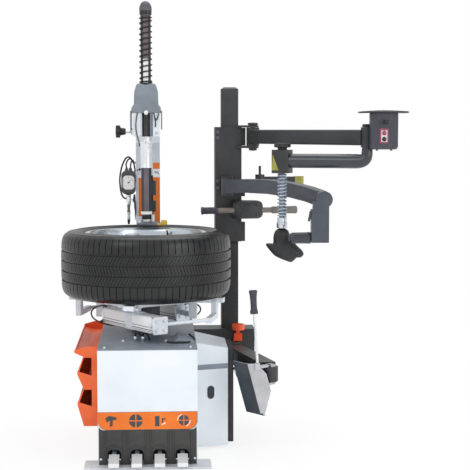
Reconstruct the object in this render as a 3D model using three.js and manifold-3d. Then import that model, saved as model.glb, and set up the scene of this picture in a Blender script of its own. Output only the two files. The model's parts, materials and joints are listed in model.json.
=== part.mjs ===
// Tilting-column tire changer with a clamped wheel and a press-arm tower.
// Millimetres. X runs to the machine's right, Y to its back, Z up.
// The origin is on the floor, under the axis of the turntable.
import * as THREE from "three";
import { mergeVertices } from "three/addons/utils/BufferGeometryUtils.js";
import Module from "manifold-3d";

const wasm = await Module();
wasm.setup();

// Clearances and sheet
const SEAT = 0.3; // between pieces that rest on each other
const RUN = 0.5; // round a piece that turns or slides
const SHEET = 4; // folded sheet of the cabinet, wing and covers

// Facets round a turned piece
const COARSE = 10;
const ROUND = 14;
const FINE = 20;

// Cabinet
const CABINET_LEFT = -198;
const CABINET_WIDTH = 412;
const CABINET_BACK = 480; // back wall, beside the column's hinge
const CABINET_DEPTH = 980;
const CABINET_TOP = 488; // upper face of the folded top
const STRIP_BOTTOM = 156; // lower edge of the front sheet
const STRIP_CORNER = 28; // rounding of that edge's corners
const FOOT_THICKNESS = 10;
const FOOT_OVERHANG = 56; // foot plate past each side of the cabinet
const FOOT_DEPTH = 130;
const FOOT_FRONT = 45; // foot plate in front of the cabinet
const RAIL_WIDTH = 130;

// Pedals
const PEDAL_COUNT = 4;
const PEDAL_PITCH = 94;
const PEDAL_FIRST_X = -131;
const PEDAL_WIDTH = 43;
const PEDAL_AXLE_IN = 60; // axle behind the cabinet's front
const PEDAL_AXLE_Z = 78;
const PEDAL_AXLE_RADIUS = 6;
const PEDAL_ARM_WIDTH = 18;
const PEDAL_EYE_WALL = 7;
const ARCH_WIDTH = 55;
const ARCH_TOP = 74;

// Wing and wheel support
const WING_REACH = 142; // from the cabinet side to the pad
const WING_FRONT_IN = -224; // front corner beside the cabinet
const WING_FRONT_OUT = -180; // front corner beside the pad
const WING_BACK = 100;
const WING_TOP_IN = 474;
const WING_TOP_OUT = 439;
const WING_BOTTOM = 12;
const PAD_THICKNESS = 24;
const PAD_BOTTOM = 25;

// Turntable
const TABLE_ANGLE = -12; // degrees at rest
const NECK_TOP = 512;
const NECK_RADIUS = 65;
const HUB_RADIUS = 60;
const SPINDLE_RADIUS = 30;
const PLATE_TOP = 649;
const PLATE_THICKNESS = 12;
const PLATE_REACH = 335; // from the axis to a side's corner, before clipping
const PLATE_CLIP = 300;
const SLOT_WIDTH = 44;
const SLOT_INNER = 116;
const JAW_OUTER = 352;
const JAW_INNER = 182;
const JAW_HOOK_RADIUS = 250;
const JAW_STEP_RADIUS = 275;

// Clamp cylinders under the plate
const CLAMP_OFFSET = 150; // cylinder axis from the turntable axis
const CLAMP_Z = 570;
const CLAMP_RADIUS = 37.5;
const CLAMP_BACK = -72;
const CLAMP_FRONT = 345;
const CLAMP_ROD_RADIUS = 12.5;
const TIE_RADIUS = 8;

// Wheel
const RIM_BOTTOM = 662;
const RIM_WIDTH = 276;
const RIM_RADIUS = 271; // outside of the flanges
const BEAD_RADIUS = 262; // bead seat
const TYRE_RADIUS = 378;
const TYRE_WIDTH = 296;
const WHEEL_SIDES = 32; // rim and tyre share their facets, so the bead fits the seat

// Column, arm and shaft
const COLUMN_X = 6;
const COLUMN_WIDTH = 114;
const COLUMN_FRONT = 400;
const COLUMN_DEPTH = 130;
const COLUMN_WALL = 6;
const COLUMN_BOTTOM = 394;
const NOTCH_DROP = 20; // cabinet's notch below the column, which dips as it tilts
const TILT_Y = 450;
const TILT_Z = 430;
const TILT_PIN_RADIUS = 15;
const LEVER_DOWN = 195.3;
const LEVER_BACK = 43.3;
const ARM_FRONT = 190;
const ARM_REAR = 700;
const ARM_WIDTH = 90;
const ARM_HEIGHT = 80;
const HEAD_TOP = 1469;
const HEAD_HEIGHT = 108;
const HEAD_DEPTH = 120;
const HEAD_WIDTH = 126;
const COVER_HEIGHT = 135; // from the head's top to the collar
const COVER_SKIRT = 74; // side flaps below the head's top
const COVER_WIDTH = 140;
const KNOB_UP = 23; // knob's axis above the head's underside
const KNOB_STEM_RADIUS = 8;
const KNOB_LEFT = -140;
const KNOB_RADIUS = 26;
const KNOB_LOBES = 6;
const KNOB_LOBE_HEIGHT = 5;
const KNOB_WIDTH = 28;
const GUIDE_LENGTH = 146; // sleeve under the head
const GUIDE_RADIUS = 27.5;
const SHAFT_Y = 250;
const SHAFT_FLATS = 41;
const SHAFT_TOP = 1981;
const SHAFT_BOTTOM = 1031;
const CAP_HEIGHT = 68;
const CAP_RADIUS = 29;
const FOOT_RISE = 69; // mount foot's underside below the shaft's end
const FOOT_BAND = 22; // height of its flat part
const INSERT_DROP = 11; // insert below the foot
const SPRING_RADIUS = 25.5;
const SPRING_WIRE = 2.6;
const SPRING_TURNS = 12;

// Help post, carriage and arms
const POST_X = 391;
const POST_Y = 350;
const POST_SIDE = 80;
const POST_TOP = 1591;
const BEAM_BOTTOM = 330;
const BEAM_TOP = 456;
const BEAM_RIGHT = 505;
const CARRIAGE_LEFT = 321;
const CARRIAGE_WIDTH = 124;
const CARRIAGE_BOTTOM = 868;
const CARRIAGE_TOP = 1405;
const CARRIAGE_WALL = 6;
const UPPER_X = 495;
const UPPER_Y = 250;
const UPPER_Z = 1360;
const UPPER_SIDE = 65;
const ELBOW_X = 915;
const ELBOW_Y = -478;
const ELBOW_SHAFT_RADIUS = 15;
const SECOND_RADIUS = 30;
const PRESS_X = 578;
const PRESS_Y = -330;
const PRESS_ROD_RADIUS = 13;
const PRESS_SPRING_RADIUS = 20;
const PRESS_TURNS = 12;
const SOCKET_TOP = 1308;
const SOCKET_HEIGHT = 98;
const SECOND_DROP = 46; // tube's axis below the socket's top
const PRESS_SPRING_LENGTH = 188;
const PRESS_HUB_HEIGHT = 44.7;
const MID_X = 375;
const MID_Y = 235;
const MID_Z = 1130;
const MID_END_X = 741;
const MID_END_Y = -385;
const MID_END_Z = 1104;
const MID_WIDTH = 48;
const MID_HEIGHT = 62;
const LEG_FRONT = -466;
const ROLLER_Z = 943;
const ROLLER_RADIUS = 25;

// Handle bar on the carriage
const HANDLE_LEFT = 253;
const HANDLE_RIGHT = 702;
const HANDLE_LEFT_Y = 196;
const HANDLE_RIGHT_Y = 258;
const HANDLE_Z = 1019;
const HANDLE_RADIUS = 13;

// Bead breaker
const BREAKER_X = 400;
const BREAKER_Y = 216;
const BREAKER_BOTTOM = 316;
const BREAKER_HEIGHT = 76;
const BREAKER_WIDTH = 70;
const KNUCKLE_X = 532;
const KNUCKLE_Y = -305;
const BREAKER_ROD_Y = 140;
const BREAKER_ROD_Z = 285;
const BREAKER_ROD_RADIUS = 12;
const BREAKER_BARREL_RADIUS = 48;

// Soap bucket holder on the post's beam
const HOLDER_X = 426;
const HOLDER_BOTTOM = 404.3;
const HOLDER_TOP = 485;
const HOLDER_RING_HEIGHT = 26;
const HOLDER_RING_RADIUS = 30;
const HOLDER_RING_WALL = 6;

// Tool tray on the left side
const TRAY_FLOORS = [152, 311, 446];
const TRAY_LIPS = [252, 382, 474];
const TRAY_FRONT = -400;
const TRAY_BACK = 350;
const TRAY_TOP = 488;
const TRAY_FLOOR_REACH = 62; // floor's outer edge from the cabinet side
const TRAY_LIP_REACH = 88;

// Drive inside the cabinet
const GEARBOX_BOTTOM = 337;
const WORM_Y = -60;
const WORM_Z = 400;
const WORM_SHAFT_RADIUS = 12;
const GEARBOX_HALF_X = 85;
const GEARBOX_HALF_Y = 95;
const MOTOR_Z = 110;
const MOTOR_RADIUS = 72;
const MOTOR_SHAFT_RADIUS = 10;
const PULLEY_WIDTH = 22;
const WORM_PULLEY_RADIUS = 75;
const MOTOR_PULLEY_RADIUS = 30;
const MOTOR_LEFT = -74;

// Tilt cylinder and the lever it pulls
const TILT_BARREL_RADIUS = 30;
const TILT_BEAM_FRONT = 270;
const TILT_BEAM_DEPTH = 40;
const LEVER_HALF = 8;
const TILT_EYE_RADIUS = 5;
const TILT_ROD_RADIUS = 10;
const TILT_BARREL_FRONT = 200;
const TILT_BARREL_BACK = 374;
const TILT_SLOT_PLAY = 1.3; // eye in the lever's slot, which takes up the lever's arc

// Tie bars between the jaws
const TIE_BACK = -45;
const TIE_POST_HALF = 12;

// Inflation set on the column
const GAUGE_X = -95;
const GAUGE_Z = 1145;
const GAUGE_Y = 392;
const GUN_SIDE = 10; // gun's left side from the gauge's axis
const GUN_BOTTOM = 998;
const HOSE_PORT_Y = 420;
const HOSE_PORT_Z = 1236;
const HOSE_PORT_LENGTH = 6;
const HOSE_END_Z = 1067;
const LEVER_PIVOT_X = -66;
const LEVER_PIVOT_Z = 1058;

// Control box on the upper arm
const PANEL_LEFT = 946;
const PANEL_RIGHT = 1047;
const PANEL_FRONT = -560;
const PANEL_BACK = -470;
const PANEL_BOTTOM = 1312;
const PANEL_TOP = 1456;
const STICK_X = 974;
const STICK_Z = 1424;
const STICK_BALL_RADIUS = 8;
const STICK_PIVOT_IN = 2.5; // pivot behind the box's front face
const ROCKER_X = 971;
const ROCKER_Z = 1366;
const ROCKER_HALF_X = 13;
const ROCKER_HALF_Z = 24;
const ROCKER_POCKET = 7;

// Elbow sleeve of the upper arm
const SLEEVE_BOTTOM = 1320;
const SLEEVE_TOP = 1402;
const SLEEVE_RADIUS = 27;

// Latch arm
const LATCH_X = 529;
const LATCH_Y = 262;
const LATCH_Z = 1156;
const LATCH_HEIGHT = 36;

// Roller and its leg
const ELBOW_DISC_RADIUS = 35;
const ROLLER_LEFT = 602;
const ROLLER_RIGHT = 688;

// Blade of the bead breaker
const BLADE_FRONT = -352;
const BLADE_BACK = -226;
const BLADE_PLATE = 8;
const BLADE_BOSS_TOP = 402;

// Colours
const WHITE = 0xe8eef4;
const GREY = 0x9aa0a8;
const DARK = 0x44464c;
const STEEL = 0xb9bcc2;
const ORANGE = 0xf26a30;
const BLACK = 0x1f2023;

// Values that follow from those sizes
const CABINET_RIGHT = CABINET_LEFT + CABINET_WIDTH;
const CABINET_FRONT = CABINET_BACK - CABINET_DEPTH;
const CABINET_BOTTOM = FOOT_THICKNESS + SEAT;
const PEDAL_AXLE_Y = CABINET_FRONT + PEDAL_AXLE_IN;
const CABINET_X = (CABINET_LEFT + CABINET_RIGHT) / 2;
const COVER_PLATE_BOTTOM = CABINET_TOP + SEAT;
const COVER_PLATE_TOP = COVER_PLATE_BOTTOM + SHEET;
const PLATE_BOTTOM = PLATE_TOP - PLATE_THICKNESS;
const COLUMN_BACK = COLUMN_FRONT + COLUMN_DEPTH;
const HOSE_PORT_X = COLUMN_X - COLUMN_WIDTH / 2 - HOSE_PORT_LENGTH;
const PAD_LEFT = CABINET_RIGHT + SEAT + WING_REACH + SEAT;
const RIM_TOP = RIM_BOTTOM + RIM_WIDTH;
const WHEEL_Z = (RIM_BOTTOM + RIM_TOP) / 2;
const HEAD_BOTTOM = HEAD_TOP - HEAD_HEIGHT;
const HEAD_X = 1; // head and cover stand a little right of the shaft
const COLUMN_TOP = HEAD_TOP;
const COVER_TOP = HEAD_TOP + COVER_HEIGHT;
const KNOB_Z = HEAD_BOTTOM + KNOB_UP;
const SLEEVE_END = HEAD_BOTTOM - GUIDE_LENGTH;
const CAP_BOTTOM = SHAFT_TOP - CAP_HEIGHT;
const ARM_Z = (HEAD_BOTTOM + HEAD_TOP) / 2;
const BREAKER_TOP = BREAKER_BOTTOM + BREAKER_HEIGHT;
const BREAKER_Z = (BREAKER_BOTTOM + BREAKER_TOP) / 2;
const TILT_CYLINDER_Z = TILT_Z - LEVER_DOWN - 2.2;
const TILT_BEAM_TOP = TILT_CYLINDER_Z - TILT_BARREL_RADIUS - SEAT;
const TOP_HOLE_RADIUS = NECK_RADIUS + 6;
const PULLEY_RIGHT = -GEARBOX_HALF_X - 3;
const PULLEY_LEFT = PULLEY_RIGHT - PULLEY_WIDTH;
const CLAMP_FOOT = CLAMP_OFFSET / Math.SQRT2;
const CLAMP_JAW = CLAMP_OFFSET * Math.SQRT2;
const TIE_STATION = CLAMP_FRONT - 20;
const BEAM_FRONT = POST_Y - 88;
const BEAM_BACK = POST_Y + 48;
const SOCKET_BOTTOM = SOCKET_TOP - SOCKET_HEIGHT;
const SECOND_Z = SOCKET_TOP - SECOND_DROP;
const PRESS_HUB_TOP = SOCKET_BOTTOM - PRESS_SPRING_LENGTH;
const PRESS_HUB_BOTTOM = PRESS_HUB_TOP - PRESS_HUB_HEIGHT;
const LEG_DISC_BACK = LEG_FRONT + 34;
const ROLLER_Y = LEG_FRONT + 36;
const ROD_LUG_X = BREAKER_X + 16;

// ---------------------------------------------------------------- helpers

// A closed three.js geometry as a solid that can be joined and cut.
function solid(geometry) {
  const bare = geometry.index ? geometry.toNonIndexed() : geometry.clone();
  bare.deleteAttribute("normal");
  bare.deleteAttribute("uv");
  const merged = mergeVertices(bare, 1e-3);
  return new wasm.Manifold(
    new wasm.Mesh({
      numProp: 3,
      vertProperties: merged.attributes.position.array,
      triVerts: new Uint32Array(merged.index.array),
    }),
  );
}

function join(...parts) {
  return parts.reduce((whole, part) => whole.add(part));
}

function cut(body, ...tools) {
  return tools.reduce((left, tool) => left.subtract(tool), body);
}

// A box from its two corners on each axis.
function box(x0, x1, y0, y1, z0, z1) {
  const geometry = new THREE.BoxGeometry(x1 - x0, y1 - y0, z1 - z0);
  geometry.translate((x0 + x1) / 2, (y0 + y1) / 2, (z0 + z1) / 2);
  return solid(geometry);
}

function shapeOf(outline, hole) {
  const shape = new THREE.Shape(outline.map(([u, v]) => new THREE.Vector2(u, v)));
  if (hole) shape.holes.push(new THREE.Path(hole.map(([u, v]) => new THREE.Vector2(u, v))));
  return shape;
}

// An outline pushed along one axis: (x, y) along z, (x, z) along y, or (y, z) along x.
function prism(axis, outline, from, to, hole) {
  const geometry = new THREE.ExtrudeGeometry(shapeOf(outline, hole), {
    depth: to - from,
    bevelEnabled: false,
  });
  const matrix = new THREE.Matrix4();
  if (axis === "z") matrix.makeTranslation(0, 0, from);
  if (axis === "y") matrix.set(1, 0, 0, 0, 0, 0, -1, to, 0, 1, 0, 0, 0, 0, 0, 1);
  if (axis === "x") matrix.set(0, 0, 1, from, 1, 0, 0, 0, 0, 1, 0, 0, 0, 0, 0, 1);
  return solid(geometry.applyMatrix4(matrix));
}

// A closed outline of [radius, height] turned about a line from a point in a direction.
function turned(profile, origin = [0, 0, 0], direction = [0, 0, 1], sides = 24) {
  const points = profile.map(([r, h]) => new THREE.Vector2(r, h));
  points.push(points[0].clone());
  const geometry = new THREE.LatheGeometry(points, sides);
  const up = new THREE.Vector3(0, 1, 0);
  const aim = new THREE.Vector3(...direction).normalize();
  geometry.applyQuaternion(new THREE.Quaternion().setFromUnitVectors(up, aim));
  geometry.translate(...origin);
  return faceOut(geometry);
}

// A turned profile may run either way round, so its faces are set to point outwards.
function faceOut(geometry) {
  const made = solid(geometry);
  if (made.volume() > 0) return made;
  const index = geometry.index.array;
  for (let i = 0; i < index.length; i += 3) {
    [index[i + 1], index[i + 2]] = [index[i + 2], index[i + 1]];
  }
  return solid(geometry);
}

// A round bar between two points; the last value is the radius at the far end.
function bar(from, to, radius, sides = 16, endRadius = radius) {
  const a = new THREE.Vector3(...from);
  const b = new THREE.Vector3(...to);
  const length = a.distanceTo(b);
  const profile = [[0, 0], [radius, 0], [endRadius, length], [0, length]];
  return turned(profile, from, b.sub(a).toArray(), sides);
}

// A round section swept along a smooth curve through the points.
function tube(points, radius, sides = 10, steps = 24) {
  const path = new THREE.CatmullRomCurve3(points.map((p) => new THREE.Vector3(...p)));
  return swept(path, radius, sides, steps);
}

function swept(path, radius, sides, steps) {
  const ring = circle(0, 0, radius, sides);
  const geometry = new THREE.ExtrudeGeometry(shapeOf(ring), {
    steps,
    extrudePath: path,
    bevelEnabled: false,
  });
  return solid(geometry);
}

// A coil spring about a vertical line.
class Helix extends THREE.Curve {
  constructor(x, y, bottom, top, radius, turns) {
    super();
    Object.assign(this, { x, y, bottom, top, radius, turns });
  }
  getPoint(t, target = new THREE.Vector3()) {
    const angle = 2 * Math.PI * this.turns * t;
    return target.set(
      this.x + this.radius * Math.cos(angle),
      this.y + this.radius * Math.sin(angle),
      this.bottom + (this.top - this.bottom) * t,
    );
  }
}

// Points of a circle or an arc, in degrees.
function circle(u, v, radius, count, from = 0, sweep = 360) {
  const last = sweep === 360 ? count : count - 1;
  return Array.from({ length: count }, (_, i) => {
    const angle = THREE.MathUtils.degToRad(from + (sweep * i) / last);
    return [u + radius * Math.cos(angle), v + radius * Math.sin(angle)];
  });
}

// A rectangle with rounded corners; each corner takes its own radius, from low u and v round.
function rounded(u0, u1, v0, v1, radii, count = 5) {
  const corners = [
    [u0, v0, 1, 1, 180],
    [u1, v0, -1, 1, 270],
    [u1, v1, -1, -1, 0],
    [u0, v1, 1, -1, 90],
  ];
  return corners.flatMap(([u, v, du, dv, start], i) => {
    const r = Array.isArray(radii) ? radii[i] : radii;
    return r ? circle(u + du * r, v + dv * r, r, count, start, 90) : [[u, v]];
  });
}

function turn(part, degrees, about = [0, 0]) {
  const [x, y] = about;
  return part.translate([-x, -y, 0]).rotate([0, 0, degrees]).translate([x, y, 0]);
}

// Lays a part made along +X from the origin onto the line between two plan points.
function aimed(part, from, to) {
  const degrees = THREE.MathUtils.radToDeg(Math.atan2(to[1] - from[1], to[0] - from[0]));
  return part.rotate([0, 0, degrees]).translate([from[0], from[1], 0]);
}

const root = new THREE.Group();

function add(name, part, colour, roughness = 0.5, metalness = 0) {
  const mesh = part.getMesh();
  const geometry = new THREE.BufferGeometry();
  const positions = new Float32Array(mesh.numVert * 3);
  for (let i = 0; i < mesh.numVert; i++) {
    const start = i * mesh.numProp;
    positions.set(mesh.vertProperties.subarray(start, start + 3), i * 3);
  }
  geometry.setAttribute("position", new THREE.BufferAttribute(positions, 3));
  geometry.setIndex(new THREE.BufferAttribute(new Uint32Array(mesh.triVerts), 1));
  geometry.computeVertexNormals();
  const material = new THREE.MeshStandardMaterial({ color: colour, roughness, metalness });
  const node = new THREE.Mesh(geometry, material);
  node.name = name;
  root.add(node);
}

// ---------------------------------------------------------------- cabinet

function baseFrame() {
  const left = CABINET_LEFT - FOOT_OVERHANG;
  const right = CABINET_RIGHT + FOOT_OVERHANG;
  const front = CABINET_FRONT - FOOT_FRONT;
  const back = CABINET_BACK;
  const frontFoot = box(left, right, front, front + FOOT_DEPTH, 0, FOOT_THICKNESS);
  const rearFoot = box(left, right, back - FOOT_DEPTH, back, 0, FOOT_THICKNESS);
  const half = RAIL_WIDTH / 2;
  return join(frontFoot, rearFoot, box(-half, half, front + 10, back - 10, 0, FOOT_THICKNESS));
}

// Front sheet: its lower corners are rounded, and it ends above the pedals.
function frontSheet() {
  const radii = [STRIP_CORNER, STRIP_CORNER, 0, 0];
  const outline = rounded(CABINET_LEFT, CABINET_RIGHT, STRIP_BOTTOM, CABINET_TOP, radii, 6);
  return prism("y", outline, CABINET_FRONT, CABINET_FRONT + SHEET);
}

// Side and rear walls and the folded top, without the front sheet.
function cabinetWalls() {
  const z0 = CABINET_BOTTOM;
  const front = CABINET_FRONT + SHEET;
  const walls = [
    box(CABINET_LEFT, CABINET_LEFT + SHEET, front, CABINET_BACK, z0, CABINET_TOP),
    box(CABINET_RIGHT - SHEET, CABINET_RIGHT, front, CABINET_BACK, z0, CABINET_TOP),
    box(CABINET_LEFT, CABINET_RIGHT, CABINET_BACK - SHEET, CABINET_BACK, z0, CABINET_TOP),
    box(CABINET_LEFT, CABINET_RIGHT, front, CABINET_BACK, CABINET_TOP - SHEET, CABINET_TOP),
  ];
  return join(...walls, frontSheet());
}

// Lugs and pin that carry the tilting column at the rear of the cabinet.
function columnClevis() {
  const lugThickness = 11;
  const lugBottom = 384;
  const lugFront = 422;
  const inner = COLUMN_WIDTH / 2 + 1;
  const outer = inner + lugThickness;
  const lug = (a, b) => box(COLUMN_X + a, COLUMN_X + b, lugFront, CABINET_BACK, lugBottom, CABINET_TOP);
  const pin = bar(
    [COLUMN_X - outer, TILT_Y, TILT_Z],
    [COLUMN_X + outer, TILT_Y, TILT_Z],
    TILT_PIN_RADIUS,
    ROUND,
  );
  return join(lug(-outer, -inner), lug(inner, outer), pin);
}

// Cross beam inside the cabinet that the tilt cylinder stands on.

function tiltBeam() {
  const height = 40;
  const back = TILT_BEAM_FRONT + TILT_BEAM_DEPTH;
  const z0 = TILT_BEAM_TOP - height;
  const outer = box(CABINET_LEFT + 1, CABINET_RIGHT - 1, TILT_BEAM_FRONT, back, z0, TILT_BEAM_TOP);
  const inner = box(
    CABINET_LEFT + SHEET,
    CABINET_RIGHT - SHEET,
    TILT_BEAM_FRONT + SHEET,
    back - SHEET,
    z0 - 1,
    TILT_BEAM_TOP - SHEET,
  );
  return cut(outer, inner);
}

function cabinetBody() {
  const notchHalf = COLUMN_WIDTH / 2 + 1;
  const notchBottom = COLUMN_BOTTOM - NOTCH_DROP;
  const slotHalf = 28;
  const slotBottom = TILT_Z - LEVER_DOWN - 30;
  const notch = box(
    COLUMN_X - notchHalf,
    COLUMN_X + notchHalf,
    COLUMN_FRONT - 2,
    CABINET_BACK + 1,
    notchBottom,
    CABINET_TOP + 1,
  );
  const leverSlot = box(
    COLUMN_X - slotHalf,
    COLUMN_X + slotHalf,
    CABINET_BACK - SHEET - 1,
    CABINET_BACK + 1,
    slotBottom,
    notchBottom + 1,
  );
  const neckHole = bar([0, 0, CABINET_TOP - 10], [0, 0, CABINET_TOP + 1], TOP_HOLE_RADIUS, FINE);
  const rodHole = bar(
    [CABINET_RIGHT - 10, BREAKER_ROD_Y, BREAKER_ROD_Z],
    [CABINET_RIGHT + 1, BREAKER_ROD_Y, BREAKER_ROD_Z],
    BREAKER_ROD_RADIUS + 10,
    ROUND,
  );
  const shell = cut(cabinetWalls(), notch, leverSlot, neckHole, rodHole);
  return join(shell, columnClevis(), tiltBeam());
}

// Grey top sheet with a low folded guard to the right of the turntable.
function topCover() {
  const notchHalf = COLUMN_WIDTH / 2 + 13;
  const plate = box(
    CABINET_LEFT,
    CABINET_RIGHT,
    CABINET_FRONT,
    CABINET_BACK,
    COVER_PLATE_BOTTOM,
    COVER_PLATE_TOP,
  );
  const neckHole = bar([0, 0, CABINET_TOP], [0, 0, COVER_PLATE_TOP + 1], TOP_HOLE_RADIUS, FINE);
  const notch = box(
    COLUMN_X - notchHalf,
    COLUMN_X + notchHalf,
    COLUMN_FRONT - 2,
    CABINET_BACK + 1,
    CABINET_TOP,
    COVER_PLATE_TOP + 1,
  );
  const guardHeight = 20;
  const guard = prism(
    "y",
    [
      [CABINET_RIGHT - 112, COVER_PLATE_BOTTOM + 1],
      [CABINET_RIGHT - 6, COVER_PLATE_BOTTOM + 1],
      [CABINET_RIGHT - 14, COVER_PLATE_TOP + guardHeight * 0.6],
      [CABINET_RIGHT - 78, COVER_PLATE_TOP + guardHeight],
    ],
    CABINET_FRONT + 150,
    CABINET_FRONT + 310,
  );
  return join(cut(plate, neckHole, notch), guard);
}

// Dark apron under the front sheet, with an arch and a channel over each pedal.
function pedalCover() {
  const front = CABINET_FRONT + 3;
  const back = CABINET_FRONT + 90;
  const left = CABINET_LEFT + SHEET + SEAT;
  const right = CABINET_RIGHT - SHEET - SEAT;
  const top = STRIP_BOTTOM + STRIP_CORNER + 6;
  const frontTop = STRIP_BOTTOM - 2;
  const wall = 4;
  const sill = CABINET_FRONT + SHEET + SEAT;
  const profile = [
    [front, CABINET_BOTTOM],
    [front + wall, CABINET_BOTTOM],
    [front + wall, frontTop - wall],
    [sill + wall, frontTop - wall],
    [sill + wall, top - wall],
    [back, top - wall],
    [back, top],
    [sill, top],
    [sill, frontTop],
    [front, frontTop],
  ];
  let cover = prism("x", profile, left, right);
  const side = [
    [front, CABINET_BOTTOM],
    [back, CABINET_BOTTOM],
    [back, top],
    [sill, top],
    [sill, frontTop],
    [front, frontTop],
  ];
  cover = join(cover, prism("x", side, left, left + wall), prism("x", side, right - wall, right));
  for (let i = 0; i < PEDAL_COUNT; i++) {
    const x = PEDAL_FIRST_X + i * PEDAL_PITCH;
    const half = ARCH_WIDTH / 2;
    const arch = rounded(x - half, x + half, 0, ARCH_TOP, [0, 0, 20, 20], 4);
    cover = cut(cover, prism("y", arch, front - 1, front + wall + 1));
  }
  const axleEnds = bar(
    [left + 1, PEDAL_AXLE_Y, PEDAL_AXLE_Z],
    [right - 1, PEDAL_AXLE_Y, PEDAL_AXLE_Z],
    PEDAL_AXLE_RADIUS,
    COARSE,
  );
  return join(cover, axleEnds);
}

// Pedal: an eye on the axle, an arm through the arch and a folded foot plate.
function pedal(index) {
  const x = PEDAL_FIRST_X + index * PEDAL_PITCH;
  const half = PEDAL_WIDTH / 2;
  const armHalf = PEDAL_ARM_WIDTH / 2;
  const eye = bar(
    [x - half + 6, PEDAL_AXLE_Y, PEDAL_AXLE_Z],
    [x + half - 6, PEDAL_AXLE_Y, PEDAL_AXLE_Z],
    PEDAL_AXLE_RADIUS + PEDAL_EYE_WALL,
    ROUND,
  );
  const arm = prism(
    "x",
    [
      [PEDAL_AXLE_Y - 2, PEDAL_AXLE_Z - 11],
      [PEDAL_AXLE_Y - 2, PEDAL_AXLE_Z + 11],
      [PEDAL_AXLE_Y - 30, PEDAL_AXLE_Z - 8],
      [PEDAL_AXLE_Y - 60, PEDAL_AXLE_Z - 22],
      [PEDAL_AXLE_Y - 72, PEDAL_AXLE_Z - 31],
      [PEDAL_AXLE_Y - 72, PEDAL_AXLE_Z - 40],
      [PEDAL_AXLE_Y - 58, PEDAL_AXLE_Z - 36],
      [PEDAL_AXLE_Y - 26, PEDAL_AXLE_Z - 24],
    ],
    x - armHalf,
    x + armHalf,
  );
  const plate = prism(
    "x",
    [
      [PEDAL_AXLE_Y - 64, PEDAL_AXLE_Z - 22],
      [PEDAL_AXLE_Y - 58, PEDAL_AXLE_Z - 28],
      [PEDAL_AXLE_Y - 60, PEDAL_AXLE_Z - 36],
      [PEDAL_AXLE_Y - 66, PEDAL_AXLE_Z - 34],
      [PEDAL_AXLE_Y - 128, PEDAL_AXLE_Z - 51],
      [PEDAL_AXLE_Y - 132, PEDAL_AXLE_Z - 61],
      [PEDAL_AXLE_Y - 138, PEDAL_AXLE_Z - 59],
      [PEDAL_AXLE_Y - 136, PEDAL_AXLE_Z - 44],
    ],
    x - half,
    x + half,
  );
  const bore = bar(
    [x - half, PEDAL_AXLE_Y, PEDAL_AXLE_Z],
    [x + half, PEDAL_AXLE_Y, PEDAL_AXLE_Z],
    PEDAL_AXLE_RADIUS + RUN,
    COARSE,
  );
  return cut(join(eye, arm, plate), bore);
}

// ---------------------------------------------------------------- side pieces

function wingPlan(inset) {
  const left = CABINET_RIGHT + SEAT;
  const right = left + WING_REACH;
  return [
    [left - (inset ? 1 : 0), WING_FRONT_IN + inset],
    [right - inset, WING_FRONT_OUT + inset],
    [right - inset, WING_BACK - inset],
    [left - (inset ? 1 : 0), WING_BACK - inset],
  ];
}

function wingRoof(inset) {
  const left = CABINET_RIGHT - 5;
  const right = CABINET_RIGHT + WING_REACH + 5;
  return prism(
    "y",
    [
      [left, -1],
      [right, -1],
      [right, WING_TOP_OUT - inset],
      [left, WING_TOP_IN - inset],
    ],
    WING_FRONT_IN - 5,
    WING_BACK + 5,
  );
}

// Folded sheet wing, open to the cabinet and at the bottom.
function sideWing() {
  const height = WING_TOP_IN + 10;
  const outer = prism("z", wingPlan(0), WING_BOTTOM, height).intersect(wingRoof(0));
  const inner = prism("z", wingPlan(SHEET), 0, height).intersect(wingRoof(SHEET));
  const slotX = CABINET_RIGHT + 66;
  const slotHalf = 15.5;
  const slot = rounded(slotX - slotHalf, slotX + slotHalf, 221, 279, slotHalf - 0.5, 6);
  return cut(outer, inner, prism("y", slot, WING_FRONT_IN - 5, WING_FRONT_OUT + 20));
}

// Rubber pad with upright ribs, on the wing's outer wall.
function wheelPad() {
  const ribs = 8;
  const front = WING_FRONT_OUT;
  const back = WING_BACK - 40;
  const pitch = (back - front) / ribs;
  const right = PAD_LEFT + PAD_THICKNESS;
  const groove = 5;
  const outline = [[PAD_LEFT, front], [right - 4, front]];
  for (let i = 0; i < ribs; i++) {
    const y = front + i * pitch;
    outline.push([right, y + 4], [right, y + pitch - 6], [right - groove, y + pitch - 2]);
    if (i < ribs - 1) outline.push([right - groove, y + pitch]);
  }
  outline.push([right - 4, back], [PAD_LEFT, back]);
  return prism("z", outline, PAD_BOTTOM, WING_TOP_OUT + 2);
}

// Saw-tooth end panel of the tray, with a window between two bins.
function trayEnd(from, to) {
  const x0 = CABINET_LEFT - SEAT;
  const root = x0 - 0.5; // just behind the back sheet's face
  const outline = [[root, TRAY_FLOORS[0]]];
  TRAY_FLOORS.forEach((floor, i) => {
    const lip = TRAY_LIPS[i];
    const reach = i === 2 ? TRAY_LIP_REACH + 12 : TRAY_LIP_REACH;
    outline.push([x0 - TRAY_FLOOR_REACH, floor], [x0 - reach, lip - 10], [x0 - reach, lip]);
  });
  outline.push([x0 - TRAY_FLOOR_REACH + 14, TRAY_TOP], [root, TRAY_TOP]);
  const windows = [0, 1].map((i) =>
    prism(
      "y",
      [
        [x0 - TRAY_LIP_REACH + 8, TRAY_LIPS[i] + 1],
        [x0 - 28, TRAY_LIPS[i] - 16],
        [x0 - 28, TRAY_FLOORS[i + 1] - 4],
        [x0 - TRAY_FLOOR_REACH + 2, TRAY_FLOORS[i + 1] - 4],
      ],
      from - 1,
      to + 1,
    ),
  );
  return cut(prism("y", outline, from, to), ...windows);
}

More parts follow.
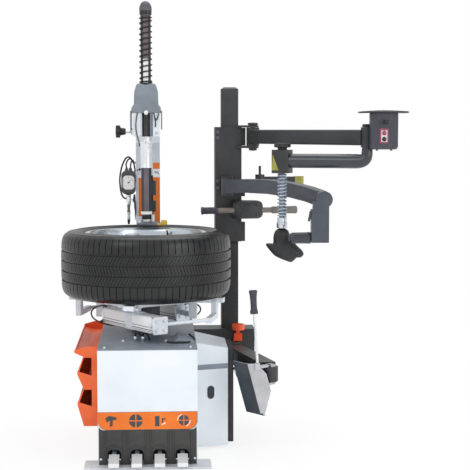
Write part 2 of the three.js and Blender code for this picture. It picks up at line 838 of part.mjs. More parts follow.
// Three stacked bins with lips that lean outwards.
function toolTray() {
  const wall = 4;
  const x0 = CABINET_LEFT - SEAT;
  const parts = [
    trayEnd(TRAY_FRONT, TRAY_FRONT + wall),
    trayEnd(TRAY_BACK - wall, TRAY_BACK),
    box(x0 - wall, x0, TRAY_FRONT + 2, TRAY_BACK - 2, TRAY_FLOORS[0] + 1, TRAY_TOP - 1),
  ];
  TRAY_FLOORS.forEach((floor, i) => {
    const reach = i === 2 ? TRAY_LIP_REACH + 12 : TRAY_LIP_REACH;
    const inset = 1.5; // keeps the bin's faces off the end panels' faces
    const edge = x0 - TRAY_FLOOR_REACH + inset;
    const lip = TRAY_LIPS[i] - inset;
    const outer = x0 - reach + inset;
    const outline = [
      [x0 - 2, floor + inset],
      [edge, floor + inset],
      [outer, lip - 10],
      [outer, lip],
      [outer + wall, lip],
      [outer + wall, lip - 9],
      [edge + wall, floor + inset + wall],
      [x0 - 2, floor + inset + wall],
    ];
    parts.push(prism("y", outline, TRAY_FRONT + 2, TRAY_BACK - 2));
  });
  return join(...parts);
}

// Soap bucket holder: clamp, neck and ring, on the front of the post's beam.
function bucketHolder() {
  const x = HOLDER_X;
  const back = BEAM_FRONT - SEAT;
  const ringBottom = HOLDER_TOP - HOLDER_RING_HEIGHT;
  const clamp = box(x - 19, x + 19, back - 18, back, HOLDER_BOTTOM, HOLDER_BOTTOM + 34);
  const neck = box(x - 9, x + 9, back - 17, back - 5, HOLDER_BOTTOM + 26, ringBottom + 6);
  const ringCentre = [x, back - HOLDER_RING_RADIUS - 6];
  const outer = bar([...ringCentre, ringBottom], [...ringCentre, HOLDER_TOP], HOLDER_RING_RADIUS, ROUND);
  const inner = bar(
    [...ringCentre, ringBottom - 1],
    [...ringCentre, HOLDER_TOP + 1],
    HOLDER_RING_RADIUS - HOLDER_RING_WALL,
    ROUND,
  );
  const foot = box(x - 22, x + 14, back - 30, back, HOLDER_BOTTOM, HOLDER_BOTTOM + 10);
  return join(cut(join(clamp, neck, outer), inner), foot);
}

// ---------------------------------------------------------------- drive

function gearbox() {
  const top = CABINET_TOP - SHEET - SEAT;
  const bodyOutline = rounded(-GEARBOX_HALF_X, GEARBOX_HALF_X, -GEARBOX_HALF_Y, GEARBOX_HALF_Y, 18, 4);
  const body = prism("z", bodyOutline, GEARBOX_BOTTOM, top);
  const neck = bar([0, 0, top - 5], [0, 0, NECK_TOP], NECK_RADIUS, FINE);
  const spindleBore = bar([0, 0, GEARBOX_BOTTOM + 12], [0, 0, NECK_TOP + 1], SPINDLE_RADIUS + RUN, FINE);
  const wormBore = bar(
    [-GEARBOX_HALF_X - 1, WORM_Y, WORM_Z],
    [-GEARBOX_HALF_X + 45, WORM_Y, WORM_Z],
    WORM_SHAFT_RADIUS + RUN,
    ROUND,
  );
  return cut(join(body, neck), spindleBore, wormBore);
}

function motor() {
  const right = MOTOR_LEFT + 214;
  const body = bar([MOTOR_LEFT, WORM_Y, MOTOR_Z], [right - 40, WORM_Y, MOTOR_Z], MOTOR_RADIUS, FINE);
  const fanCowl = bar([right - 42, WORM_Y, MOTOR_Z], [right, WORM_Y, MOTOR_Z], MOTOR_RADIUS - 5, FINE);
  const foot = box(-50, 50, WORM_Y - 60, WORM_Y + 60, FOOT_THICKNESS + SEAT, FOOT_THICKNESS + 14);
  const saddle = box(-40, 40, WORM_Y - 45, WORM_Y + 45, FOOT_THICKNESS + 10, MOTOR_Z);
  const terminalBox = box(-20, 50, WORM_Y + 40, WORM_Y + 95, MOTOR_Z - 20, MOTOR_Z + 40);
  const bore = bar(
    [MOTOR_LEFT - 1, WORM_Y, MOTOR_Z],
    [MOTOR_LEFT + 50, WORM_Y, MOTOR_Z],
    MOTOR_SHAFT_RADIUS + RUN,
    ROUND,
  );
  return cut(join(body, fanCowl, foot, saddle, terminalBox), bore);
}

// A flanged pulley with its shaft, from the left face inwards.
function pulley(z, radius, shaftRadius, shaftEnd) {
  const width = PULLEY_WIDTH;
  const profile = [
    [0, 0],
    [radius, 0],
    [radius, 3],
    [radius - 8, 5],
    [radius - 8, width - 5],
    [radius, width - 3],
    [radius, width],
    [shaftRadius, width],
    [shaftRadius, shaftEnd - PULLEY_LEFT],
    [0, shaftEnd - PULLEY_LEFT],
  ];
  return turned(profile, [PULLEY_LEFT, WORM_Y, z], [1, 0, 0], FINE);
}

// Outline of a belt round the two pulleys, in the plane of the belt.
function beltOutline(extra) {
  const big = WORM_PULLEY_RADIUS - 8 + extra;
  const small = MOTOR_PULLEY_RADIUS - 8 + extra;
  const lean = THREE.MathUtils.radToDeg(Math.asin((big - small) / (WORM_Z - MOTOR_Z)));
  const top = circle(WORM_Y, WORM_Z, big, 20, -lean, 180 + 2 * lean);
  const bottom = circle(WORM_Y, MOTOR_Z, small, 10, 180 + lean, 180 - 2 * lean);
  return [...top, ...bottom];
}

function driveBelt() {
  const inner = 2 * RUN;
  const outer = inner + 6;
  const margin = 5.5;
  return prism("x", beltOutline(outer), PULLEY_LEFT + margin, PULLEY_RIGHT - margin, beltOutline(inner));
}

function beadCylinder() {
  const face = CABINET_RIGHT - SHEET - SEAT;
  const left = -80;
  const axisAt = (x) => [x, BREAKER_ROD_Y, BREAKER_ROD_Z];
  const barrel = bar(axisAt(left), axisAt(face), BREAKER_BARREL_RADIUS, FINE);
  const half = 56;
  const flange = box(
    face - 12,
    face,
    BREAKER_ROD_Y - half,
    BREAKER_ROD_Y + half,
    BREAKER_ROD_Z - half,
    BREAKER_ROD_Z + half,
  );
  const bore = bar(axisAt(left + 14), axisAt(face + 1), BREAKER_ROD_RADIUS + SEAT, ROUND);
  return cut(join(barrel, flange), bore);
}

// ---------------------------------------------------------------- turntable

// Plate with its corners on the four slides, clipped at each corner.
function tablePlate() {
  const clip = PLATE_REACH - PLATE_CLIP;
  const outline = [];
  for (let i = 0; i < 4; i++) {
    const angle = (i * Math.PI) / 2;
    const c = Math.cos(angle);
    const s = Math.sin(angle);
    outline.push([PLATE_CLIP * c + clip * s, PLATE_CLIP * s - clip * c]);
    outline.push([PLATE_CLIP * c - clip * s, PLATE_CLIP * s + clip * c]);
  }
  let plate = prism("z", outline, PLATE_BOTTOM, PLATE_TOP);
  const half = SLOT_WIDTH / 2 + SEAT;
  for (let i = 0; i < 4; i++) {
    const slot = box(SLOT_INNER, PLATE_REACH + 5, -half, half, PLATE_BOTTOM - 1, PLATE_TOP + 1);
    plate = cut(plate, turn(slot, 90 * i));
  }
  return plate;
}

function turntable() {
  const hub = bar([0, 0, NECK_TOP + SEAT], [0, 0, PLATE_BOTTOM + 1], HUB_RADIUS, FINE);
  const flare = bar([0, 0, PLATE_BOTTOM - 22], [0, 0, PLATE_BOTTOM + 1], HUB_RADIUS, 32, HUB_RADIUS + 20);
  const spindle = bar([0, 0, GEARBOX_BOTTOM + 14], [0, 0, NECK_TOP + 2], SPINDLE_RADIUS, FINE);
  return turn(join(tablePlate(), hub, flare, spindle), TABLE_ANGLE);
}

// Sliding jaw: a beam in the slot, flanges under the plate, a step and a hook.
function jawBody() {
  const half = SLOT_WIDTH / 2;
  const flangeTop = PLATE_BOTTOM - SEAT;
  const flangeBottom = flangeTop - 8;
  const beam = box(JAW_INNER, JAW_OUTER, -half, half, flangeBottom, PLATE_TOP);
  const flange = box(JAW_INNER + 6, JAW_OUTER - 30, -half - 14, half + 14, flangeBottom, flangeTop);
  const seatTop = RIM_BOTTOM - SEAT;
  const face = Math.sqrt(JAW_HOOK_RADIUS ** 2 - half ** 2); // keeps its corners off the rim
  const hook = prism(
    "y",
    [
      [face - 42, PLATE_TOP - 1],
      [JAW_STEP_RADIUS, PLATE_TOP - 1],
      [JAW_STEP_RADIUS, seatTop],
      [face, seatTop],
      [face - 2, seatTop + 14],
      [face, seatTop + 26],
      [face - 12, seatTop + 30],
      [face - 30, seatTop + 10],
    ],
    -half,
    half,
  );
  return join(beam, flange, hook);
}

// A point on the first clamp cylinder's axis, by its distance from the foot of the offset.
function clampPoint(station, z = CLAMP_Z) {
  const step = station / Math.SQRT2;
  return [-CLAMP_FOOT + step, -CLAMP_FOOT - step, z];
}

// Jaw that carries a cylinder: its saddle stands on the barrel.
function saddleJaw() {
  const body = turn(jawBody(), 270);
  const top = PLATE_BOTTOM - 4;
  const post = box(-20, 20, -CLAMP_JAW - 20, -CLAMP_JAW + 20, CLAMP_Z + 20, top);
  const barrelRoom = bar(clampPoint(CLAMP_BACK), clampPoint(CLAMP_FRONT), CLAMP_RADIUS + SEAT, FINE);
  return join(body, cut(post, barrelRoom));
}

// Jaw on the rod's end, with the tie bar that keeps the next jaw in step.
function rodJaw() {
  const body = turn(jawBody(), 180);
  const top = PLATE_BOTTOM - 4;
  const bottom = CLAMP_Z - 16;
  const eye = box(-CLAMP_JAW - 16, -CLAMP_JAW + 16, -18, 18, bottom, top);
  const rodTip = 150;
  const rod = bar(clampPoint(-CLAMP_OFFSET - 6), clampPoint(rodTip), CLAMP_ROD_RADIUS, ROUND);
  return join(body, eye, rod, tieBar());
}

// The tie bar runs square to the cylinder, through the far cylinder's end block.
function tieBar() {
  const station = clampPoint(TIE_STATION);
  const start = station.map((v, i) => (i < 2 ? v + TIE_BACK / Math.SQRT2 : v));
  const endX = JAW_OUTER - 42;
  const run = endX - station[0];
  const end = [endX, station[1] + run, CLAMP_Z];
  const rod = bar(start, end, TIE_RADIUS, COARSE);
  const [near, far] = [endX - TIE_POST_HALF, endX + TIE_POST_HALF];
  const bracket = box(near, far, end[1] - 14, -10, CLAMP_Z - 14, CLAMP_Z + 10);
  const riser = box(near, far, -22, 22, CLAMP_Z - 14, PLATE_BOTTOM - 4);
  // Made for the jaw at 0 degrees, then turned to the jaw at 180 degrees.
  return turn(join(rod, bracket, riser), 180);
}

function clampCylinder() {
  const cap = 14;
  const barrel = bar(clampPoint(CLAMP_BACK), clampPoint(CLAMP_FRONT - 40), CLAMP_RADIUS - 3, FINE);
  const rearCap = bar(clampPoint(CLAMP_BACK), clampPoint(CLAMP_BACK + cap), CLAMP_RADIUS, FINE);
  const block = bar(clampPoint(CLAMP_FRONT - 44), clampPoint(CLAMP_FRONT), CLAMP_RADIUS, FINE);
  const saddlePad = bar(clampPoint(CLAMP_OFFSET - 26), clampPoint(CLAMP_OFFSET + 26), CLAMP_RADIUS, FINE);
  const rodBore = bar(clampPoint(CLAMP_BACK - 1), clampPoint(245), CLAMP_ROD_RADIUS + RUN, ROUND);
  const across = TIE_BACK / Math.SQRT2;
  const station = clampPoint(TIE_STATION);
  const tieBore = bar(
    station.map((v, i) => (i < 2 ? v + across : v)),
    station.map((v, i) => (i < 2 ? v - across : v)),
    TIE_RADIUS + RUN,
    COARSE,
  );
  return cut(join(barrel, rearCap, block, saddlePad), rodBore, tieBore);
}

// ---------------------------------------------------------------- wheel

function wheelRim() {
  const z0 = RIM_BOTTOM;
  const z1 = RIM_TOP;
  const bore = (JAW_HOOK_RADIUS + SEAT) / Math.cos(Math.PI / WHEEL_SIDES);
  const profile = [
    [bore, z0],
    [RIM_RADIUS - 8, z0],
    [RIM_RADIUS, z0 + 4],
    [RIM_RADIUS, z0 + 12],
    [BEAD_RADIUS, z0 + 20],
    [BEAD_RADIUS, z0 + 58],
    [BEAD_RADIUS - 24, z0 + 80],
    [BEAD_RADIUS - 24, z1 - 120],
    [BEAD_RADIUS, z1 - 62],
    [BEAD_RADIUS, z1 - 20],
    [RIM_RADIUS, z1 - 12],
    [RIM_RADIUS, z1 - 3],
    [RIM_RADIUS - 10, z1],
    [BEAD_RADIUS - 7, z1 - 6],
    [BEAD_RADIUS - 8, z1 - 60],
    [BEAD_RADIUS - 31, z1 - 122],
    [BEAD_RADIUS - 31, z0 + 82],
    [bore, z0 + 60],
  ];
  const faceTop = z1 - 24;
  const hub = turned(
    [
      [34, faceTop - 60],
      [74, faceTop - 60],
      [82, faceTop - 20],
      [70, faceTop - 8],
      [34, faceTop - 8],
    ],
    [0, 0, 0],
    [0, 0, 1],
    ROUND,
  );
  const parts = [turned(profile, [0, 0, 0], [0, 0, 1], WHEEL_SIDES), hub];
  const spokes = 5;
  for (let i = 0; i < spokes; i++) {
    const spoke = prism(
      "y",
      [
        [60, faceTop - 40],
        [BEAD_RADIUS - 5, faceTop - 34],
        [BEAD_RADIUS - 4, faceTop - 4],
        [150, faceTop - 8],
        [60, faceTop - 12],
      ],
      -19,
      19,
    );
    parts.push(turn(spoke, TABLE_ANGLE + 45 + (360 / spokes) * i));
  }
  return join(...parts);
}

// Half of the tyre's section from the middle of the tread to the bead, as [radius, up].
function tyreSide() {
  const half = TYRE_WIDTH / 2;
  const r = BEAD_RADIUS + SEAT;
  return [
    [TYRE_RADIUS, half - 56],
    [TYRE_RADIUS - 6, half - 24],
    [TYRE_RADIUS - 20, half - 8],
    [TYRE_RADIUS - 50, half],
    [r + 18, half - 14],
    [r + 3, half - 31],
    [r, half - 36],
    [r, half - 56],
    [r + 28, half - 26],
    [TYRE_RADIUS - 52, half - 13],
    [TYRE_RADIUS - 20, half - 36],
  ];
}

function tyre() {
  const side = tyreSide();
  const mirrored = side.map(([r, z]) => [r, -z]);
  const profile = [...mirrored.reverse(), ...side].map(([r, z]) => [r, z + WHEEL_Z]);
  return turned(profile, [0, 0, 0], [0, 0, 1], WHEEL_SIDES);
}

// ---------------------------------------------------------------- column

function column() {
  const half = COLUMN_WIDTH / 2;
  const left = COLUMN_X - half;
  const right = COLUMN_X + half;
  const bottom = COLUMN_BOTTOM;
  const tubeBody = box(left, right, COLUMN_FRONT, COLUMN_BACK, bottom, COLUMN_TOP);
  const w = COLUMN_WALL;
  const hollow = box(left + w, right - w, COLUMN_FRONT + w, COLUMN_BACK - w, bottom - 1, COLUMN_TOP - w);
  const armHalf = ARM_WIDTH / 2 + RUN;
  const armUp = ARM_HEIGHT / 2 + RUN;
  const guide = box(left + 1, right - 1, COLUMN_FRONT + 1, COLUMN_BACK - 1, ARM_Z - 54, ARM_Z + 50);
  const armHole = box(
    COLUMN_X - armHalf,
    COLUMN_X + armHalf,
    COLUMN_FRONT - 1,
    COLUMN_BACK + 1,
    ARM_Z - armUp,
    ARM_Z + armUp,
  );
  const boss = bar([left + 1, TILT_Y, TILT_Z], [right - 1, TILT_Y, TILT_Z], TILT_PIN_RADIUS + 12, ROUND);
  const hosePort = bar([left + 1, HOSE_PORT_Y, HOSE_PORT_Z], [HOSE_PORT_X, HOSE_PORT_Y, HOSE_PORT_Z], 7, 6);
  const bore = bar([left - 1, TILT_Y, TILT_Z], [right + 1, TILT_Y, TILT_Z], TILT_PIN_RADIUS + RUN, ROUND);
  const shell = join(cut(tubeBody, hollow), guide, boss, hosePort, tiltLever());
  return cut(shell, armHole, bore);
}

// Lever under the column's hinge that the tilt cylinder pulls; its hole is a slot.
function tiltLever() {
  const endY = TILT_Y + LEVER_BACK;
  const endZ = TILT_Z - LEVER_DOWN;
  const outline = [
    [TILT_Y - 22, TILT_Z],
    [TILT_Y + 22, TILT_Z],
    [endY + 16, endZ + 6],
    [endY + 10, endZ - 14],
    [endY - 10, endZ - 14],
    [endY - 16, endZ + 6],
  ];
  const plate = prism("x", outline, COLUMN_X - LEVER_HALF, COLUMN_X + LEVER_HALF);
  const slot = box(
    COLUMN_X - LEVER_HALF - 1,
    COLUMN_X + LEVER_HALF + 1,
    endY - TILT_EYE_RADIUS - TILT_SLOT_PLAY,
    endY + TILT_EYE_RADIUS + TILT_SLOT_PLAY,
    endZ - 11,
    endZ + 9,
  );
  return cut(plate, slot);
}

function tiltBarrel() {
  const axisAt = (y) => [COLUMN_X, y, TILT_CYLINDER_Z];
  const barrel = bar(axisAt(TILT_BARREL_FRONT), axisAt(TILT_BARREL_BACK), TILT_BARREL_RADIUS, FINE);
  const bore = bar(axisAt(TILT_BARREL_FRONT + 10), axisAt(TILT_BARREL_BACK + 1), TILT_ROD_RADIUS + SEAT, ROUND);
  const foot = box(
    COLUMN_X - 26,
    COLUMN_X + 26,
    TILT_BEAM_FRONT + 2,
    TILT_BEAM_FRONT + TILT_BEAM_DEPTH - 2,
    TILT_BEAM_TOP + SEAT,
    TILT_CYLINDER_Z - 16,
  );
  return cut(join(barrel, foot), bore);
}

function tiltRod() {
  const endY = TILT_Y + LEVER_BACK;
  const z = TILT_CYLINDER_Z;
  const rod = bar([COLUMN_X, 300, z], [COLUMN_X, endY - 26, z], TILT_ROD_RADIUS, ROUND);
  const outer = LEVER_HALF + 9;
  const yoke = box(COLUMN_X - outer, COLUMN_X + outer, endY - 30, endY + 14, z - 12, z + 12);
  const gap = box(
    COLUMN_X - LEVER_HALF - 1,
    COLUMN_X + LEVER_HALF + 1,
    endY - 20,
    endY + 15,
    z - 13,
    z + 13,
  );
  const pin = bar([COLUMN_X - outer, endY, z], [COLUMN_X + outer, endY, z], TILT_EYE_RADIUS, COARSE);
  return join(cut(join(rod, yoke), gap), pin);
}

// Hollow arm through the column with the shaft's head at its front.
function horizontalArm() {
  const left = COLUMN_X - ARM_WIDTH / 2;
  const right = COLUMN_X + ARM_WIDTH / 2;
  const z0 = ARM_Z - ARM_HEIGHT / 2;
  const z1 = ARM_Z + ARM_HEIGHT / 2;
  const wall = 6;
  const headBack = ARM_FRONT + HEAD_DEPTH;
  const beam = box(left, right, headBack - 10, ARM_REAR, z0, z1);
  const hollow = box(left + wall, right - wall, headBack, ARM_REAR + 1, z0 + wall, z1 - wall);
  const headHalf = HEAD_WIDTH / 2;
  const outline = rounded(HEAD_X - headHalf, HEAD_X + headHalf, HEAD_BOTTOM, HEAD_TOP, 6, 3);
  const head = prism("y", outline, ARM_FRONT, headBack);
  const bore = hexBar(SLEEVE_END - 1, HEAD_TOP + 1, SHAFT_FLATS + 2 * RUN);
  const sleeve = bar([0, SHAFT_Y, SLEEVE_END], [0, SHAFT_Y, HEAD_BOTTOM + 1], GUIDE_RADIUS, FINE);
  const knobBore = bar([-70, SHAFT_Y, KNOB_Z], [-30, SHAFT_Y, KNOB_Z], KNOB_STEM_RADIUS + RUN, COARSE);
  return cut(join(cut(beam, hollow), head, sleeve), bore, knobBore);
}

// Upright six-sided bar on the shaft's axis.
function hexBar(bottom, top, flats, x = 0, y = SHAFT_Y) {
  const corner = flats / Math.sqrt(3);
  return prism("z", circle(x, y, corner, 6), bottom, top);
}

// Moulded cover over the head, narrowing to a collar round the shaft.
function armCover() {
  const bottom = HEAD_TOP + SEAT;
  const half = COVER_WIDTH / 2;
  const front = ARM_FRONT - 4;
  const rows = [
    [bottom, half, front, ARM_FRONT + 205],
    [HEAD_TOP + COVER_HEIGHT * 0.3, half - 7, ARM_FRONT, ARM_FRONT + 190],
    [HEAD_TOP + COVER_HEIGHT * 0.77, half - 15, ARM_FRONT + 6, ARM_FRONT + 150],
    [COVER_TOP, half - 24, ARM_FRONT + 14, ARM_FRONT + 110],
  ];
  const layers = rows.slice(1).map((row, i) => {
    const points = [rows[i], row].flatMap(([z, side, near, far]) =>
      rounded(HEAD_X - side, HEAD_X + side, near, far, 10, 3).map(([x, y]) => new THREE.Vector3(x, y, z)),
    );
    return solid(hullOf(points));
  });
  const inner = HEAD_WIDTH / 2 + SEAT;
  const skirt = (from, to) =>
    box(HEAD_X + from, HEAD_X + to, front, ARM_FRONT + 100, HEAD_TOP - COVER_SKIRT, bottom + 1);
  const roomHalf = half - 17;
  const roomTop = COVER_TOP - 44;
  const room = box(HEAD_X - roomHalf, HEAD_X + roomHalf, ARM_FRONT + 6, ARM_FRONT + 195, bottom - 1, roomTop);
  const bore = bar([0, SHAFT_Y, bottom], [0, SHAFT_Y, COVER_TOP + 1], 26, ROUND);
  return join(cut(join(...layers), room, bore), skirt(-half, -inner), skirt(inner, half));
}

// Convex body over two stacked outlines with the same number of points.
function hullOf(points) {
  const count = points.length / 2;
  const positions = points.flatMap((p) => p.toArray());
  const index = [];
  for (let i = 0; i < count; i++) {
    const j = (i + 1) % count;
    index.push(i, j, count + i, j, count + j, count + i);
  }
  for (let i = 1; i < count - 1; i++) {
    index.push(0, i + 1, i);
    index.push(count, count + i, count + i + 1);
  }
  const geometry = new THREE.BufferGeometry();
  geometry.setAttribute("position", new THREE.Float32BufferAttribute(positions, 3));
  geometry.setIndex(index);
  return geometry;
}

function hexShaft() {
  const shaft = hexBar(SHAFT_BOTTOM, SHAFT_TOP - 20, SHAFT_FLATS);
  const cap = turned(
    [
      [0, CAP_BOTTOM],
      [CAP_RADIUS - 5, CAP_BOTTOM],
      [CAP_RADIUS - 2, CAP_BOTTOM + 22],
      [CAP_RADIUS, CAP_BOTTOM + 26],
      [CAP_RADIUS, SHAFT_TOP - 12],
      [CAP_RADIUS - 5, SHAFT_TOP],
      [0, SHAFT_TOP],
    ],
    [0, SHAFT_Y, 0],
    [0, 0, 1],
    ROUND,
  );
  return join(shaft, cap);
}

function shaftSpring() {
  const path = new Helix(
    0,
    SHAFT_Y,
    COVER_TOP + SEAT + SPRING_WIRE,
    CAP_BOTTOM - SEAT - SPRING_WIRE,
    SPRING_RADIUS + SPRING_WIRE,
    SPRING_TURNS,
  );
  return swept(path, SPRING_WIRE, 4, SPRING_TURNS * 8);
}

// Mount head: clamp block on the shaft and a duck-bill foot towards the rim.
function mountHead() {
  const top = SHAFT_BOTTOM + 12;
  const bottom = SHAFT_BOTTOM - FOOT_RISE;
  const collar = turned(
    [
      [0, bottom + 6],
      [30, bottom],
      [36, bottom + 16],
      [34, SHAFT_BOTTOM - 14],
      [30, top],
      [0, top],
    ],
    [0, SHAFT_Y, 0],
    [0, 0, 1],
    ROUND,
  );
  const foot = prism(
    "z",
    [
      [-40, SHAFT_Y - 26],
      [-6, SHAFT_Y - 40],
      [44, SHAFT_Y - 34],
      [66, SHAFT_Y - 22],
      [66, SHAFT_Y - 2],
      [30, SHAFT_Y + 16],
      [-24, SHAFT_Y + 10],
    ],
    bottom,
    bottom + FOOT_BAND,
  );
  const socket = hexBar(SHAFT_BOTTOM - SEAT, top + 1, SHAFT_FLATS + 2 * SEAT);
  return cut(join(collar, foot), socket);
}

// Plastic insert under the foot's tip.
function mountInsert() {
  const outline = [
    [40, SHAFT_Y - 32],
    [84, SHAFT_Y - 30],
    [96, SHAFT_Y - 18],
    [92, SHAFT_Y - 6],
    [66 + SEAT, SHAFT_Y - 2],
    [44, SHAFT_Y - 8],
  ];
  const foot = SHAFT_BOTTOM - FOOT_RISE;
  const under = prism("z", outline, foot - INSERT_DROP, foot - SEAT);
  const tipOutline = [outline[1], outline[2], outline[3], outline[4], [66 + SEAT, SHAFT_Y - 30]];
  const tip = prism("z", tipOutline, foot - INSERT_DROP + 2, foot + FOOT_BAND - 10);
  return join(under, tip);
}

// Star knob on the left of the head, with a chrome stem.
function starKnob() {
  const z = KNOB_Z;
  const stem = bar([KNOB_LEFT + 40, SHAFT_Y, z], [-34, SHAFT_Y, z], KNOB_STEM_RADIUS, COARSE);
  const outline = [];
  const count = KNOB_LOBES * 4;
  for (let i = 0; i < count; i++) {
    const angle = (2 * Math.PI * i) / count;
    const r = KNOB_RADIUS + KNOB_LOBE_HEIGHT * Math.cos(KNOB_LOBES * angle);
    outline.push([SHAFT_Y + r * Math.cos(angle), z + r * Math.sin(angle)]);
  }
  const starRight = KNOB_LEFT + KNOB_WIDTH;
  const star = prism("x", outline, KNOB_LEFT, starRight);
  const hub = bar([starRight - 1, SHAFT_Y, z], [starRight + 18, SHAFT_Y, z], 17, ROUND, 14);
  return join(stem, star, hub);
}

// ---------------------------------------------------------------- inflation

function airGauge() {
  const boot = turned(
    [
      [0, -18],
      [30, -18],
      [33, -12],
      [33, 14],
      [30, 20],
      [25, 20],
      [24, 16],
      [0, 16],
    ],
    [GAUGE_X, GAUGE_Y, GAUGE_Z],
    [0, -1, 0],
    FINE,
  );
  const columnSide = COLUMN_X - COLUMN_WIDTH / 2 - SEAT;
  const bracket = box(GAUGE_X, columnSide, GAUGE_Y + 12, GAUGE_Y + 18, GAUGE_Z + 6, GAUGE_Z + 26);
  const plate = box(columnSide - 6, columnSide, GAUGE_Y + 10, GAUGE_Y + 50, GAUGE_Z - 4, GAUGE_Z + 36);
  const neck = bar([GAUGE_X, GAUGE_Y, GAUGE_Z - 30], [GAUGE_X, GAUGE_Y, GAUGE_Z - 46], 10, COARSE);
  return join(boot, bracket, plate, neck);
}

// Inflator body under the gauge, with its barrel and air chuck.
function airGun() {
  const top = GAUGE_Z - 46 - SEAT;
  const x = GAUGE_X + 14;
  const collar = bar([GAUGE_X, GAUGE_Y, top], [GAUGE_X, GAUGE_Y, top - 26], 11, COARSE);
  const body = prism(
    "y",
    [
      [GAUGE_X - GUN_SIDE, top - 20],
      [GAUGE_X + 12, top - 20],
      [x + 14, top - 36.7],
      [x + 14, GUN_BOTTOM + 2],
      [x - 10, GUN_BOTTOM],
      [GAUGE_X - GUN_SIDE, top - 42.7],
    ],
    GAUGE_Y - 10,
    GAUGE_Y + 10,
  );
  const joint = bar([x + 2, GAUGE_Y, GUN_BOTTOM + 4], [x + 2, GAUGE_Y, GUN_BOTTOM - 32], 8, COARSE);
  const chuck = bar([x + 2, GAUGE_Y, GUN_BOTTOM - 30], [x + 2, GAUGE_Y, GUN_BOTTOM - 48], 6, 10, 9);
  return join(collar, body, joint, chuck);
}

function gunLever() {
  const outline = [
    [LEVER_PIVOT_X - 1 + SEAT, LEVER_PIVOT_Z + 4],
    [LEVER_PIVOT_X + 12, LEVER_PIVOT_Z + 6],
    [LEVER_PIVOT_X + 15, LEVER_PIVOT_Z - 48],
    [LEVER_PIVOT_X + 9, LEVER_PIVOT_Z - 50],
    [LEVER_PIVOT_X + 6, LEVER_PIVOT_Z - 10],
    [LEVER_PIVOT_X + 0.5, LEVER_PIVOT_Z - 8],
  ];
  return prism("y", outline, GAUGE_Y - 7, GAUGE_Y + 7);
}

// Air hose from the column's side, over the gauge and down to the gun's foot.
function airHose() {
  return tube(
    [
      [HOSE_PORT_X - RUN, HOSE_PORT_Y, HOSE_PORT_Z],
      [HOSE_PORT_X - 9, HOSE_PORT_Y, HOSE_PORT_Z + 1],
      [-78, 414, 1262],
      [-94, 402, 1290],
      [-112, 396, 1276],
      [-128, 392, 1215],
      [-134, 390, 1150],
      [-131, 390, 1096],
      [-125, 390, 1076],
      [GAUGE_X - GUN_SIDE - 10, GAUGE_Y - 1, HOSE_END_Z + 1],
      [GAUGE_X - GUN_SIDE - RUN, GAUGE_Y - 1, HOSE_END_Z],
    ],
    4,
    8,
    30,
  );
}

// ---------------------------------------------------------------- help tower

// Post with its beam on the cabinet's side and the lugs of the bead breaker.
function helpPost() {
  const half = POST_SIDE / 2;
  const wall = 5;
  const beamWall = 6;
  const left = CABINET_RIGHT + SEAT;
  const beam = cut(
    box(left, BEAM_RIGHT, BEAM_FRONT, BEAM_BACK, BEAM_BOTTOM, BEAM_TOP),
    box(
      left + beamWall,
      BEAM_RIGHT - beamWall,
      BEAM_FRONT + beamWall,
      BEAM_BACK - beamWall,
      BEAM_BOTTOM - 1,
      BEAM_TOP - beamWall,
    ),
  );
  const post = box(POST_X - half, POST_X + half, POST_Y - half, POST_Y + half, BEAM_BOTTOM, POST_TOP - 8);
  const dome = solid(
    hullOf(
      [
        [POST_TOP - 9, half],
        [POST_TOP, half - 12],
      ].flatMap(([z, h]) =>
        rounded(POST_X - h, POST_X + h, POST_Y - h, POST_Y + h, 4, 2).map(([x, y]) => new THREE.Vector3(x, y, z)),
      ),
    ),
  );
  const room = box(
    POST_X - half + wall,
    POST_X + half - wall,
    POST_Y - half + wall,
    POST_Y + half - wall,
    BEAM_BOTTOM - 1,
    POST_TOP - 12,
  );
  return join(cut(join(beam, post, dome), room), breakerLugs());
}

function breakerLugs() {
  const reach = 32;
  const lug = (z0, z1) =>
    join(
      box(BREAKER_X - reach, BREAKER_X + reach, BREAKER_Y, BEAM_FRONT + 1, z0, z1),
      bar([BREAKER_X, BREAKER_Y, z0], [BREAKER_X, BREAKER_Y, z1], reach, ROUND),
    );
  const lowerTop = BREAKER_BOTTOM - SEAT;
  const upperBottom = BREAKER_TOP + SEAT;
  const web = box(BREAKER_X - reach, BREAKER_X + reach, BEAM_FRONT - 6, BEAM_FRONT + 1, lowerTop - 12, 360);
  const pin = bar([BREAKER_X, BREAKER_Y, lowerTop - 16], [BREAKER_X, BREAKER_Y, upperBottom + 11], 12, ROUND);
  return join(lug(lowerTop - 12, lowerTop), lug(upperBottom, upperBottom + 7.4), web, pin);
}

// Square sleeve on the post with guide pads, arm lugs and pins.
function carriage() {
  const left = CARRIAGE_LEFT;
  const right = CARRIAGE_LEFT + CARRIAGE_WIDTH;
  const front = POST_Y - CARRIAGE_WIDTH / 2;
  const back = POST_Y + CARRIAGE_WIDTH / 2;
  const w = CARRIAGE_WALL;
  const room = POST_SIDE / 2 + RUN;
  const sleeve = cut(
    box(left, right, front, back, CARRIAGE_BOTTOM, CARRIAGE_TOP),
    box(left + w, right - w, front + w, back - w, CARRIAGE_BOTTOM + 36, CARRIAGE_TOP - 36),
    box(POST_X - room, POST_X + room, POST_Y - room, POST_Y + room, CARRIAGE_BOTTOM - 1, CARRIAGE_TOP + 1),
  );
  const stop = box(right - 4, right + 18, front + 20, front + 60, CARRIAGE_BOTTOM, CARRIAGE_BOTTOM + 90);
  return join(sleeve, stop, upperLugs(right, front), midLugs(front), latchLugs(right, front));
}

